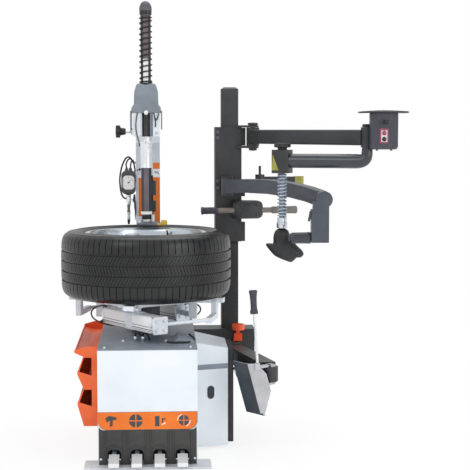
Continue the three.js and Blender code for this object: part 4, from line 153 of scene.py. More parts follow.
def on_shaft(profile, sides=64, closed=True):
    """A profile of radius and height turned about the hexagon shaft's axis."""
    return lathe(profile, (0, SHAFT_Y, 0), sides=sides, closed=closed)


def rod(start, end, radius, sides=32, end_radius=None, lip=1.0):
    """A round bar between two points, with a small chamfer at both ends."""
    start, end = np.asarray(start, float), np.asarray(end, float)
    length = float(np.linalg.norm(end - start))
    r1 = radius if end_radius is None else end_radius
    profile = [(0, 0), (radius - lip, 0), (radius, lip), (r1, length - lip), (r1 - lip, length), (0, length)]
    return lathe(profile, start, end - start, sides)


def sweep(path, radius, sides=12, squash=1.0):
    """A round or oval section carried along a path; the frame is kept from turning along the way."""
    path = np.asarray(path, float)
    tangent = unit(np.gradient(path, axis=0))
    side = np.zeros_like(path)
    side[0] = unit(np.cross(tangent[0], (0.1, 0.2, 1.0)))
    for s in range(1, len(path)):
        kept = side[s - 1] - tangent[s] * np.dot(side[s - 1], tangent[s])
        side[s] = unit(kept)
    up = np.cross(tangent, side)
    angle = 2 * math.pi * np.arange(sides) / sides
    r = np.broadcast_to(radius, len(path))[:, None, None]
    rings = path[:, None] + r * (np.cos(angle)[:, None] * side[:, None] + squash * np.sin(angle)[:, None] * up[:, None])
    return skin(rings)


def flat(axis, outline, at):
    """The outline's points in the plane that crosses x, y or z at that place."""
    order = {"x": (2, 0, 1), "y": (0, 2, 1), "z": (0, 1, 2)}[axis]
    return np.column_stack([outline, np.full(len(outline), float(at))])[:, order]


def loft(axis, outline, rows, centre=None):
    """Outlines stacked along an axis: a row gives a place, and the factor that draws the outline in to the centre."""
    outline = np.asarray(outline, float)
    middle = outline.mean(0) if centre is None else np.asarray(centre, float)
    return skin([flat(axis, middle + (outline - middle) * k, at) for at, k in rows])


def prism(axis, outline, low, high):
    """An outline pushed along x, y or z between two planes."""
    return skin([flat(axis, outline, at) for at in (low, high)])


def rectangle(u0, u1, v0, v1):
    """The four corners of a rectangle."""
    return [(u0, v0), (u1, v0), (u1, v1), (u0, v1)]


def block(x0, x1, y0, y1, z0, z1):
    """A rectangle pushed upward, whose edges the piece's bevel rounds."""
    return prism("z", rectangle(x0, x1, y0, y1), z0, z1)


def lobed(u, v, radius, wave, lobes, count):
    """A lobed circle: radius plus wave times the cosine of lobes times the angle."""
    angle = 2 * math.pi * np.arange(count) / count
    reach = radius + wave * np.cos(lobes * angle)
    return np.column_stack([u + reach * np.cos(angle), v + reach * np.sin(angle)])


def turned_about(shape, degrees, offset=(0.0, 0.0)):
    """The shape turned about the upright line through the origin, then moved by the offset in x and y."""
    verts, faces = shape
    c, s = math.cos(math.radians(degrees)), math.sin(math.radians(degrees))
    x, y, z = verts.T
    return np.column_stack([c * x - s * y + offset[0], s * x + c * y + offset[1], z]), faces


def hex_head(point, direction, across, height):
    """A hexagon bolt head: six sides with a turned chamfer on its top."""
    r = across / math.sqrt(3)
    return lathe([(0, 0), (r, 0), (r, height * 0.75), (r * 0.86, height), (0, height)], point, direction, 6)


def helix(x, y, low, high, radius, turns, wire, per_turn=26):
    """Points of a coil: a circle whose height grows evenly between one closed turn at each end."""
    n = np.linspace(0, turns, int(turns * per_turn))
    height = np.interp(n, [0, 1, turns - 1, turns], [low, low + 2.1 * wire, high - 2.1 * wire, high])
    angle = 2 * math.pi * n
    return np.column_stack([x + radius * np.cos(angle), y + radius * np.sin(angle), height])


# ---------------------------------------------------------------- materials

def linear(code):
    """An sRGB hex value as linear red, green, blue and alpha."""
    c = np.array([int(code[i:i + 2], 16) for i in (1, 3, 5)]) / 255
    c = np.where(c <= 0.04045, c / 12.92, ((c + 0.055) / 1.055) ** 2.4)
    return (*c.tolist(), 1.0)


def add(tree, kind, inputs=None, **settings):
    """One shader node with its settings, and values or other nodes' outputs on its inputs."""
    made = tree.nodes.new("ShaderNode" + kind)
    for key, value in settings.items():
        setattr(made, key, value)
    for key, value in (inputs or {}).items():
        socket = made.inputs[key]
        if isinstance(value, bpy.types.NodeSocket):
            tree.links.new(value, socket)
        else:
            socket.default_value = value
    return made


def emptied(owner):
    """The owner's own node tree, without its first nodes."""
    owner.use_nodes = True
    owner.node_tree.nodes.clear()
    return owner.node_tree


def finish(name, low, high, rough, grain, bump, patch=120.0, metal=0.0, spread=0.08, stretch=(1, 1, 1), coat=0.0,
           dust=0.0, tint=(1.0, 1.0, 1.0)):
    """A surface as it is made: two shades mixed by soft patches, and a fine grain in height and gloss.

    low, high: the surface's darker and lighter shade. patch, grain: sizes of both patterns in millimetres.
    bump: height of the grain in millimetres. stretch: how the grain is drawn out along x, y and z.
    dust: how much of the upward faces is greyed. tint: the user's factor on both shades."""
    made = bpy.data.materials.new(name)
    tree = emptied(made)
    shades = [(*(c * t for c, t in zip(linear(code), tint)), 1.0) for code in (low, high)]
    where = add(tree, "TexCoord").outputs["Object"]
    drawn = add(tree, "Mapping", {"Vector": where, "Scale": stretch}).outputs[0]
    patches = add(tree, "TexNoise", {"Vector": where, "Scale": 1000 / patch, "Detail": 4.0, "Roughness": 0.6})
    fine = add(tree, "TexNoise", {"Vector": drawn, "Scale": 1000 / grain, "Detail": 3.0, "Roughness": 0.55})
    shade = add(tree, "MapRange", {"Value": patches.outputs[0], "From Min": 0.35, "From Max": 0.65})
    colour = add(tree, "MixRGB", {"Fac": shade.outputs[0], "Color1": shades[0], "Color2": shades[1]}).outputs[0]
    # upward faces are greyed: dust, and painted light from above
    if dust:
        up = add(tree, "SeparateXYZ", {"Vector": add(tree, "NewGeometry").outputs["Normal"]}).outputs["Z"]
        lying = add(tree, "MapRange", {"Value": up, "From Min": 0.3, "From Max": 1.0, "To Max": dust}).outputs[0]
        top_light_and_dust = add(tree, "Math", {0: lying, 1: patches.outputs[0]}, operation="MULTIPLY").outputs[0]
        colour = add(tree, "MixRGB", {"Fac": top_light_and_dust, "Color1": colour, "Color2": linear("#A8A6A0")}).outputs[0]
    gloss = add(tree, "MapRange", {"Value": fine.outputs[0], "From Min": 0.3, "From Max": 0.7,
                                   "To Min": max(rough - spread, 0.02), "To Max": rough + spread}).outputs[0]
    relief = add(tree, "Bump", {"Height": fine.outputs[0], "Distance": bump * MM, "Strength": 1.0}).outputs[0]
    shader = add(tree, "BsdfPrincipled", {"Base Color": colour, "Roughness": gloss, "Metallic": metal,
                                          "Coat Weight": coat, "Coat Roughness": 0.12, "Normal": relief})
    add(tree, "OutputMaterial", {"Surface": shader.outputs[0]})
    return made


# Grain, height and patch are real millimetres.
FINISHES = {
    # sheet steel, baked polyester powder in cool white: satin, with a faint orange-peel skin
    "white_powder_coat": ("#DDE5EC", "#E8EEF4", 0.36, 2.4, 0.05, dict(spread=0.04, patch=300)),
    # mid grey on the top sheet, darker than the body, in soft patches; also the wing's band of painted shade
    "grey_powder_coat": ("#76808C", "#88929D", 0.42, 2.2, 0.06, dict(patch=90)),
    # textured powder of the tower: a sandy grain that breaks up highlights
    "dark_powder_coat": ("#2B2C2E", "#38393B", 0.46, 1.6, 0.16, dict(patch=160, dust=0.14)),
    # smooth powder on the drawn round tube, which carries a soft blue-grey highlight
    "dark_smooth_coat": ("#2A2F37", "#363C45", 0.26, 2.0, 0.04, dict(patch=200, coat=0.3)),
    # hot-dip galvanised base plates with pale spangle
    "base_plate_paint": ("#C4C9CE", "#D6DADF", 0.48, 3.0, 0.05, dict(patch=70)),
    # orange stoving enamel of the strip, glossy and even
    "orange_enamel": ("#E26C0C", "#EE7A16", 0.32, 2.0, 0.03, dict(patch=150, coat=0.1)),
    # the red-orange enamel of the cast bucket holder, glossier and smaller in its shades
    "holder_enamel": ("#E64A14", "#F25A20", 0.28, 2.0, 0.03, dict(patch=60, coat=0.3)),
    # injection-moulded polyethylene tray: waxy, very slightly pebbled
    "tray_moulding": ("#E65C26", "#F26E36", 0.42, 1.4, 0.06, dict(patch=110)),
    # the same tray on the inner walls of its bins, darker as painted shade, and duller
    "tray_shadow_side": ("#6A2614", "#7E2E18", 0.55, 1.4, 0.06, dict(patch=60)),
    # moulded dark apron of filled polypropylene with a leather-like grain
    "apron_moulding": ("#343434", "#3F3F3E", 0.52, 1.3, 0.12, dict(patch=140, dust=0.2)),
    # vacuum-formed grey plastic cover, softly drawn
    "cover_moulding": ("#757E88", "#848D97", 0.4, 1.2, 0.07, dict(patch=90)),
    # injection-moulded black nylon of knobs and clips
    "black_moulding": ("#18181A", "#222325", 0.42, 1.0, 0.06, dict(patch=60)),
    # dip-moulded soft grip, a violet black with no sharp highlight
    "violet_grip": ("#3A3742", "#484452", 0.6, 0.9, 0.1, dict(patch=50)),
    # the older rubber grip, worn to a warm grey
    "warm_grip": ("#6E6863", "#807A74", 0.55, 0.9, 0.08, dict(patch=60)),
    # cast nylon shoe on the blade's working face, slate blue
    "slate_shoe": ("#1B252D", "#25303A", 0.42, 1.5, 0.08, dict(patch=80)),
    # silver-grey paint on the flame-cut blade
    "blade_paint": ("#ABABB0", "#BDBDC2", 0.38, 1.8, 0.06, dict(patch=70)),
    # hard chrome on ground bar: near-mirror with the faintest draw marks
    "chrome_plate": ("#E4E6E9", "#EFF1F3", 0.2, 0.8, 0.01, dict(metal=0.9, spread=0.05)),
    # bright zinc plating of springs, bolts and small parts
    "zinc_plate": ("#CBD1D9", "#DBE0E7", 0.28, 0.8, 0.02, dict(metal=0.9, patch=40)),
    # clear-anodised extruded cylinder tube, drawn lengthwise
    "anodised_tube": ("#F4F6F8", "#FBFCFD", 0.3, 0.9, 0.01, dict(spread=0.06)),
    # diamond-turned aluminium of the spokes, bright and finely lined
    "machined_aluminium": ("#D5DBE2", "#E6EBF0", 0.26, 0.7, 0.015, dict(metal=0.9, patch=60)),
    # silver wheel lacquer under a clear coat
    "wheel_lacquer": ("#C9D2DA", "#DAE2E9", 0.24, 0.8, 0.01, dict(metal=0.8, coat=0.5)),
    # black-oxide ground hexagon bar, oiled
    "oiled_bar": ("#232328", "#2E2E33", 0.36, 0.6, 0.02, dict(metal=0.4, stretch=(1, 1, 0.04))),
    # ground bar below its scale mark, bright
    "bright_bar": ("#E4E7EC", "#F2F4F6", 0.3, 0.6, 0.01, dict(metal=0.35, stretch=(1, 1, 0.04))),
    # a ground face of the oiled bar, lit grey-mauve: a painted highlight on its front facet
    "ground_face": ("#655B62", "#776D74", 0.34, 0.6, 0.02, dict(metal=0.3, stretch=(1, 1, 0.04))),
    # moulded cap on the shaft, dull dark grey
    "dull_cap": ("#4E4F55", "#5C5D63", 0.45, 1.0, 0.06, dict(patch=40)),
    # blue-passivated zinc of the coiled press spring
    "spring_zinc": ("#A9B8C8", "#C4D0DC", 0.26, 0.6, 0.02, dict(metal=0.7, patch=30)),
    # moulded rubber boot of the gauge
    "boot_rubber": ("#444447", "#515154", 0.5, 1.0, 0.08, dict(patch=30)),
    # pale grey printed film on the column
    "panel_grey": ("#C2CBD4", "#CDD5DD", 0.4, 1.5, 0.03, dict(patch=60)),
    # tinted acrylic windows, dark teal and glossy
    "teal_window": ("#22343A", "#2C4148", 0.25, 1.5, 0.02, dict(patch=40)),
    # the bar's front face between its marks, grey-brown as a painted highlight
    "scaled_face": ("#474442", "#545150", 0.4, 0.6, 0.03, dict(metal=0.3, stretch=(1, 1, 0.04))),
    # blue-grey textured powder of the middle arm, its upward faces greyed as dust and as painted highlight
    "arm_coat": ("#3C4049", "#4B505A", 0.34, 1.8, 0.08, dict(patch=160, dust=0.14)),
    # zinc plate that faces away from the light, slate grey
    "shaded_zinc": ("#69727F", "#7E8896", 0.35, 0.8, 0.02, dict(metal=0.4, patch=40)),
    # nickel-plated folded pedals, pale and soft in gloss
    "pedal_plate": ("#E4E7EA", "#F1F3F5", 0.25, 0.8, 0.02, dict(metal=0.25, patch=40)),
    # injection-moulded box, dark with a violet cast
    "box_moulding": ("#34343E", "#403F4A", 0.42, 1.4, 0.06, dict(patch=90)),
    # printed polyester label, pale mauve
    "label_film": ("#C6BBC6", "#D2C8D0", 0.35, 1.2, 0.01, dict(patch=20)),
    # the label's rose border
    "label_edge": ("#A8495E", "#B8566A", 0.35, 1.2, 0.01, dict(patch=20)),
    # the label's dark red disc
    "label_red": ("#8A3040", "#9A3C4C", 0.35, 1.2, 0.01, dict(patch=20)),
    # oil-tempered black spring wire
    "spring_wire": ("#1C1B1B", "#2A2928", 0.28, 0.6, 0.02, dict(metal=0.3, patch=30)),
    # drop-forged mount head, dull grey with scale
    "forged_steel": ("#5E6166", "#74777C", 0.4, 1.6, 0.1, dict(metal=0.85, patch=30)),
    # grey iron casting of the drive, rough from its sand mould
    "iron_casting": ("#4E5257", "#5E6268", 0.62, 2.2, 0.25, dict(metal=0.3, patch=80)),
    # sprayed grey enamel of the motor's case
    "motor_enamel": ("#5F6870", "#6C757E", 0.45, 1.8, 0.08, dict(patch=80)),
    # cured carbon-black rubber that goes grey where light grazes it
    "tread_rubber": ("#131415", "#1E1F21", 0.34, 1.4, 0.1, dict(patch=55, dust=0.04)),
    # press-moulded black rubber of pads and blocks
    "moulded_rubber": ("#1B1C1E", "#28292C", 0.5, 1.2, 0.1, dict(patch=40)),
    # extruded black hose with a thin sheen
    "hose_rubber": ("#17181A", "#202124", 0.4, 0.8, 0.04, dict(patch=30)),
    # yellow nylon insert, cut from bar
    "yellow_nylon": ("#C8A52A", "#DCBC3C", 0.42, 1.0, 0.05, dict(patch=30)),
    # olive nylon buffer of the latch arm
    "olive_nylon": ("#8D8A3C", "#A09C48", 0.5, 1.0, 0.06, dict(patch=30)),
    # dark blue dip coat of the gun's trigger
    "blue_dip": ("#1E2C52", "#2A3A66", 0.4, 1.0, 0.04, dict(patch=30)),
    # turned brass fittings
    "brass_turned": ("#B08D45", "#C8A65C", 0.3, 0.7, 0.02, dict(metal=1.0, patch=20)),
    # white enamelled dial and white acetal rings
    "dial_enamel": ("#EFEFEC", "#F6F6F4", 0.25, 1.5, 0.01, dict(patch=30)),
    # the unlit dark behind openings, matt
    "dark_opening": ("#101114", "#17191C", 0.8, 1.5, 0.05, dict(patch=40)),
    # dark grey screen ink
    "ink_grey": ("#3A3D42", "#44474C", 0.4, 1.2, 0.02, dict(patch=40)),
    # white screen ink
    "ink_white": ("#E9EBED", "#F2F3F4", 0.4, 1.2, 0.02, dict(patch=40)),
}
# Which setting tints a finish.
TINTS = {"white_powder_coat": "body_tint", "orange_enamel": "trim_tint", "tray_moulding": "trim_tint",
         "dark_powder_coat": "tower_tint"}
MADE = {}


def material(name):
    """The finish of that name in the user's tint, made once for each tint."""
    *row, more = FINISHES[name]
    tint = tuple(getattr(bpy.context.scene.tire_changer, TINTS[name])) if name in TINTS else (1.0, 1.0, 1.0)
    if (name, tint) not in MADE:
        MADE[name, tint] = finish(name, *row, **more, tint=tint)
    return MADE[name, tint]


# ---------------------------------------------------------------- pieces

def piece(name, parts, body, replaces=(), bevel=0.0, smooth=38.0, between=None, subdivide=0):
    """Joins parts, each a shape and a finish, into one object that rides on a body.

    Each part is welded and its faces turned out before it is joined. bevel rounds the edges, in millimetres."""
    whole = bmesh.new()
    names = []
    for shape, surface in parts:
        if surface not in names:
            names.append(surface)
        part = bmesh.new()
        mesh = bpy.data.meshes.new("part")
        mesh.from_pydata((np.asarray(shape[0], float) * MM).tolist(), [], shape[1])
        part.from_mesh(mesh)
        bmesh.ops.remove_doubles(part, verts=part.verts, dist=2e-6)
        bmesh.ops.recalc_face_normals(part, faces=part.faces)
        for face in part.faces:
            face.material_index = names.index(surface)
        part.to_mesh(mesh)
        whole.from_mesh(mesh)
        bpy.data.meshes.remove(mesh)
        part.free()
    return placed(name, whole, names, body, replaces, bevel, smooth, between, subdivide)


def placed(name, whole, surfaces, body, replaces, bevel, smooth, between=None, subdivide=0):
    """Makes the object from a finished mesh, with smooth faces, a bevel, its body and its slot."""
    mesh = bpy.data.meshes.new(name)
    whole.to_mesh(mesh)
    whole.free()
    for surface in surfaces:
        mesh.materials.append(material(surface))
    mesh.shade_smooth()
    mesh.set_sharp_from_angle(angle=math.radians(smooth))
    made = bpy.data.objects.new(name, mesh)
    bpy.context.scene.collection.objects.link(made)
    if bevel:
        rounding = made.modifiers.new("edges", "BEVEL")
        rounding.width = bevel * MM
        rounding.segments = 2
        rounding.limit_method = "ANGLE"
        rounding.angle_limit = math.radians(38)
        rounding.harden_normals = True
        rounding.use_clamp_overlap = True
    if subdivide:
        finer = made.modifiers.new("finer", "SUBSURF")
        finer.levels = finer.render_levels = subdivide
    if between:
        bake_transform(made)
    else:
        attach(made, body)
    if replaces:
        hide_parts(*replaces)
    return made


def dressed(node, surface, bevel=1.0, extra=(), paint=None, smooth=38.0):
    """A welded copy of a solid with clean flat faces and rounded edges, plus the small parts on it.

    paint turns a face's centre and normal, in millimetres, into a finish, where a solid has more than one."""
    source = frame["nodes"][node]
    body = source["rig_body"]
    whole = bmesh.new()
    whole.from_mesh(source.data)
    bmesh.ops.remove_doubles(whole, verts=whole.verts, dist=4e-6)
    bmesh.ops.dissolve_limit(whole, angle_limit=math.radians(0.6), verts=whole.verts, edges=whole.edges)
    names = [surface]
    for face in whole.faces:
        chosen = paint(face.calc_center_median() * 1000, face.normal) if paint else surface
        if chosen not in names:
            names.append(chosen)
        face.material_index = names.index(chosen)
    made = placed(node + "_skin", whole, names, body, (node,), bevel, smooth)
    if extra:
        piece(node + "_fittings", extra, body, bevel=0.4)
    return made


# ---------------------------------------------------------------- wheel

def tread_height(z):
    """Depth class of each row: 2 shoulder rib, 1 inner rib, 0 plain."""
    a = np.abs(z)
    return np.where((a > 70.5) & (a < 133), 2, np.where((a < 60.0) & ((a > 27.0) | (a < 17.0)), 1, 0))


def tyre_rows():
    """Half of the section from the tread's middle to inside the bead, as radius and height over the middle."""
    crown = lambda z, sunk=0: (TYRE_RADIUS - 2.5 * (z / 92.0) ** 2 - sunk, z)
    rows = [crown(z) for z in (0, 4, 8, 12, 16, 17.5)]
    rows += [crown(z, GROOVE) for z in (18.5, 25.5)]
    rows += [crown(z) for z in (26.5, 28, 33, 38, 43, 48, 53, 58, 60)]
    rows += [crown(z, GROOVE) for z in (61, 69)]
    rows += [crown(z) for z in (70, 72, 78, 84, 90, 96)]
    rows += [(373.5, 106), (371.5, 114), (368.5, 121), (364.5, 127.5), (359, 133), (352, 138), (347, 140.6),
             (346, 142.2)]
    rows += [(343, 143.0), (342, 142.4), (334, 144.6), (326, 146.2), (318, 146.6), (317, 147.8), (314, 147.8),
             (313, 146.2)]
    rows += [(304, 144.2), (294, 140.2), (285, 135.2), (277, 129), (271, 123), (266, 117), (262.6, 111), (262.6, 94)]
    rows += [(284, 112), (312, 126), (336, 127), (352, 112), (360, 84), (362, 40), (362, 0.0)]
    return np.array(rows)


def tyre():
    """The section turned round the axis; slots are sunk where the angle, sheared by height, meets a block's edge."""
    half = tyre_rows()
    section = np.vstack([half, (half * (1, -1))[-2:0:-1]])
    settings = bpy.context.scene.tire_changer
    pitches = settings.tread_blocks
    within = np.array([0.0, 0.03, 0.085, 0.115, 0.5, 0.52, 0.565, 0.585])
    sunk = np.array([0, 1, 1, 0, 0, 2, 2, 0])
    column = (np.arange(pitches)[:, None] + within).ravel() / pitches * 2 * math.pi
    sunk = np.tile(sunk, pitches)
    r, z = section[:, 0], section[:, 1]
    outside = np.zeros(len(r), bool)
    outside[:33] = outside[-32:] = True
    kind = np.where(outside & (r > 358), tread_height(z), 0)
    shoulder, inner = settings.tread_depth * (sunk == 1), 2.4 * (sunk > 0)
    depth = np.where(kind[:, None] == 2, shoulder, np.where(kind[:, None] == 1, inner, 0.0))
    slope = np.interp(z, [-70, -27, -17, 17, 27, 70], [-21, 5, 6, -6, -5, 21]) / TYRE_RADIUS
    angle = column[None, :] + np.where(r > 355, slope, 0)[:, None]
    radius = r[:, None] - depth
    rings = np.stack([radius * np.cos(angle), radius * np.sin(angle),
                      np.broadcast_to(z[:, None] + WHEEL_MIDDLE, angle.shape)], -1)
    shape = skin(rings, wrap=True)
    piece("tyre_carcass", [(shape, "tread_rubber")], "turntable", ["tyre"], smooth=50)


def wheel_rim():
    """The rim's section turned round the axis, five lofted spokes that widen to the rim, and a hub with bolt wells."""
    z0, z1 = WHEEL_LOW, WHEEL_HIGH
    section = [(252, z0), (263, z0), (269, z0 + 1.5), (271, z0 + 5), (270.4, z0 + 11), (266, z0 + 16), (262, z0 + 22),
               (262, z0 + 58), (240, z0 + 80), (238, z0 + 84), (238, z1 - 124), (240, z1 - 118), (262, z1 - 62),
               (262, z1 - 22), (266, z1 - 16), (270.4, z1 - 11), (271, z1 - 5), (269.5, z1 - 1.5), (266, z1),
               (262.5, z1 - 0.8), (259.5, z1 - 4), (256.5, z1 - 12), (255, z1 - 26), (252, z1 - 58), (232, z1 - 122),
               (231.5, z0 + 84), (252, z0 + 60)]
    parts = [(lathe(section, sides=144, closed=True), "wheel_lacquer")]
    face = z1 - 24
    station = np.linspace(0, 1, 15)
    reach = 58 + 198 * station
    half_width = 25 - 9 * np.sin(math.pi * np.clip(station * 1.15, 0, 1)) + 17 * station ** 3
    top = face - 10 + 12 * np.sin(math.pi * 0.5 * station) * (1 - 0.35 * station) + 2 * station
    deep = 26 + 12 * (1 - station)
    edge = 2 * math.pi * (np.arange(20) + 0.5) / 20
    u = np.sign(np.cos(edge)) * np.abs(np.cos(edge)) ** 0.55
    v = np.sign(np.sin(edge)) * np.abs(np.sin(edge)) ** 0.55
    for k in range(5):
        y = half_width[:, None] * u
        z = (top - deep / 2)[:, None] + (deep / 2)[:, None] * v - 0.0022 * y ** 2
        rings = np.stack([np.broadcast_to(reach[:, None], y.shape), y, z], -1)
        parts.append((turned_about(skin(rings), TABLE_ANGLE + 45 + 72 * k), "machined_aluminium"))
    hub = [(34, face - 60), (70, face - 60), (82, face - 26), (80, face - 14), (72, face - 9), (52, face - 7),
           (44, face - 6), (41, face - 12), (34, face - 14)]
    parts.append((lathe(hub, sides=72, closed=True), "machined_aluminium"))
    cap = [(0, face - 10), (24, face - 10.5), (32, face - 13), (33.4, face - 18), (33.4, face - 30), (0, face - 30)]
    parts.append((lathe(cap, sides=48), "wheel_lacquer"))
    well = [(0, face - 13), (7.5, face - 13), (9.0, face - 6.2), (7.6, face - 6.2), (6.4, face - 10), (0, face - 10)]
    for u, v in arc(0, 0, 59, 5, TABLE_ANGLE + 81):
        parts.append((lathe(well, (u, v, 0), sides=24), "dark_opening"))
    a = math.radians(TABLE_ANGLE + 78)
    foot = np.array([247 * math.cos(a), 247 * math.sin(a), z1 - 46])
    stem = foot + np.array([-12 * math.cos(a), -12 * math.sin(a), 26])
    parts.append((rod(foot, stem, 5.5, 20, 4.0), "moulded_rubber"))
    parts.append((rod(stem - (stem - foot) * 0.1, stem + (stem - foot) * 0.35, 3.8, 20), "black_moulding"))
    piece("alloy_wheel", parts, "turntable", ["wheel_rim"], smooth=32)


# ---------------------------------------------------------------- turntable

CLAMP_BODY = {1: "jaw_4", 2: "jaw_2"}


def clamp_point(station):
    """A point on the first clamp cylinder's axis, by its distance from the foot of its offset."""
    foot, step = 150 / math.sqrt(2), station / math.sqrt(2)
    return np.array([step - foot, -foot - step, 570.0])


def clamp_cylinder(index):
    """A rounded square pushed along the cylinder's axis, between square heads with bolts and two hose fittings.

    The dark rails are thin boxes on its sides: axis + side across + height up, from one head to the other."""
    start, end = clamp_point(-72), clamp_point(345)
    along = unit(end - start)
    side = unit(np.cross(along, (0, 0, 1)))
    up = np.cross(side, along)
    section = lambda half, radius: rounded(-half, half, -half, half, radius, 6)
    ring = lambda o, at: at + o[:, :1] * side + o[:, 1:] * up
    tube = lambda half, radius, a, b: skin([ring(section(half, radius), p) for p in (a, b)])
    parts = [(tube(half, radius, a, b), surface) for half, radius, a, b, surface in
             ((35.6, 9, start + along * 13, end - along * 15, "anodised_tube"),
              (37.2, 8, start, start + along * 13.2, "zinc_plate"), (37.2, 8, end - along * 13, end, "zinc_plate"),
              (36.4, 8, end - along * 15, end - along * 12.8, "ink_grey"))]
    # dark rails: painted shade where the profile's slots run
    for lean in (-1, 1):
        for height, depth in ((-8, 1.2), (-19, 1.6), (-25, 0.8)):
            corners = [side * lean * r + up * h for r in (35.0, 35.9) for h in (height - depth, height + depth)]
            rail = [corners[0], corners[1], corners[3], corners[2]]
            parts.append((skin([[start + along * a + c for c in rail] for a in (14, 401)]), "ink_grey"))
    saddle = clamp_point(124)
    parts.append((tube(37.2, 8, saddle, saddle + along * 52), "white_powder_coat"))
    for k in range(4):
        a = math.pi / 4 + k * math.pi / 2
        off = 26 * (math.cos(a) * side + math.sin(a) * up)
        parts.append((hex_head(end + off - along * 0.5, along, 12, 6), "zinc_plate"))
        parts.append((hex_head(start + off + along * 0.5, -along, 12, 5), "zinc_plate"))
    for spot, lean in ((start + along * 7, 1), (end - along * 22, -1)):
        out = unit(-up * 0.5 + side * 0.85 * lean)
        base = spot + out * 38
        parts.append((rod(base, base + out * 12, 6, 16), "brass_turned"))
        parts.append((rod(base + out * 11, base + out * 18, 7, 16), "black_moulding"))
    turn = TABLE_ANGLE + (0 if index == 1 else 180)
    parts = [(turned_about(shape, turn), surface) for shape, surface in parts]
    piece(f"clamp_tube_{index}", parts, CLAMP_BODY[index], [f"clamp_cylinder_{index}"], smooth=30)


def cylinder_hose(index):
    """An air line from the rear fitting, looped back under the tube: a circle carried along a Catmull-Rom curve."""
    points = [(-168, -28, 602), (-188, -30, 612), (-222, -38, 607), (-243, -48, 588), (-238, -58, 564),
              (-212, -68, 546), (-180, -76, 536), (-150, -76, 530), (-132, -71, 529)]
    shape = turned_about(sweep(curve(points, 50), 3.4, 10), 0 if index == 1 else 180)
    piece(f"clamp_hose_{index}", [(shape, "hose_rubber")], CLAMP_BODY[index], smooth=60)


def turntable():
    """Plate, hub and jaws from their solids, the hub's foot as cast iron, with bolts evenly spaced on two circles."""
    hub = lambda c, n: "iron_casting" if c[2] < 634 else "white_powder_coat"
    dressed("turntable", "white_powder_coat", 1.2, paint=hub)
    for k in (1, 2, 3, 4):
        dressed(f"jaw_{k}", "white_powder_coat", 0.8)
    parts = [(hex_head((u, v, 649.0), (0, 0, 1), 13, 6), "zinc_plate")
             for reach in (96, 128) for u, v in arc(0, 0, reach, 4, TABLE_ANGLE + 45)]
    piece("plate_bolts", parts, "turntable")
    for index in (1, 2):
        clamp_cylinder(index)
        cylinder_hose(index)


# ---------------------------------------------------------------- cabinet

def decal(outline, y, thick=0.35):
    """A thin printed film on the front sheet."""
    return prism("y", outline, y - thick, y)


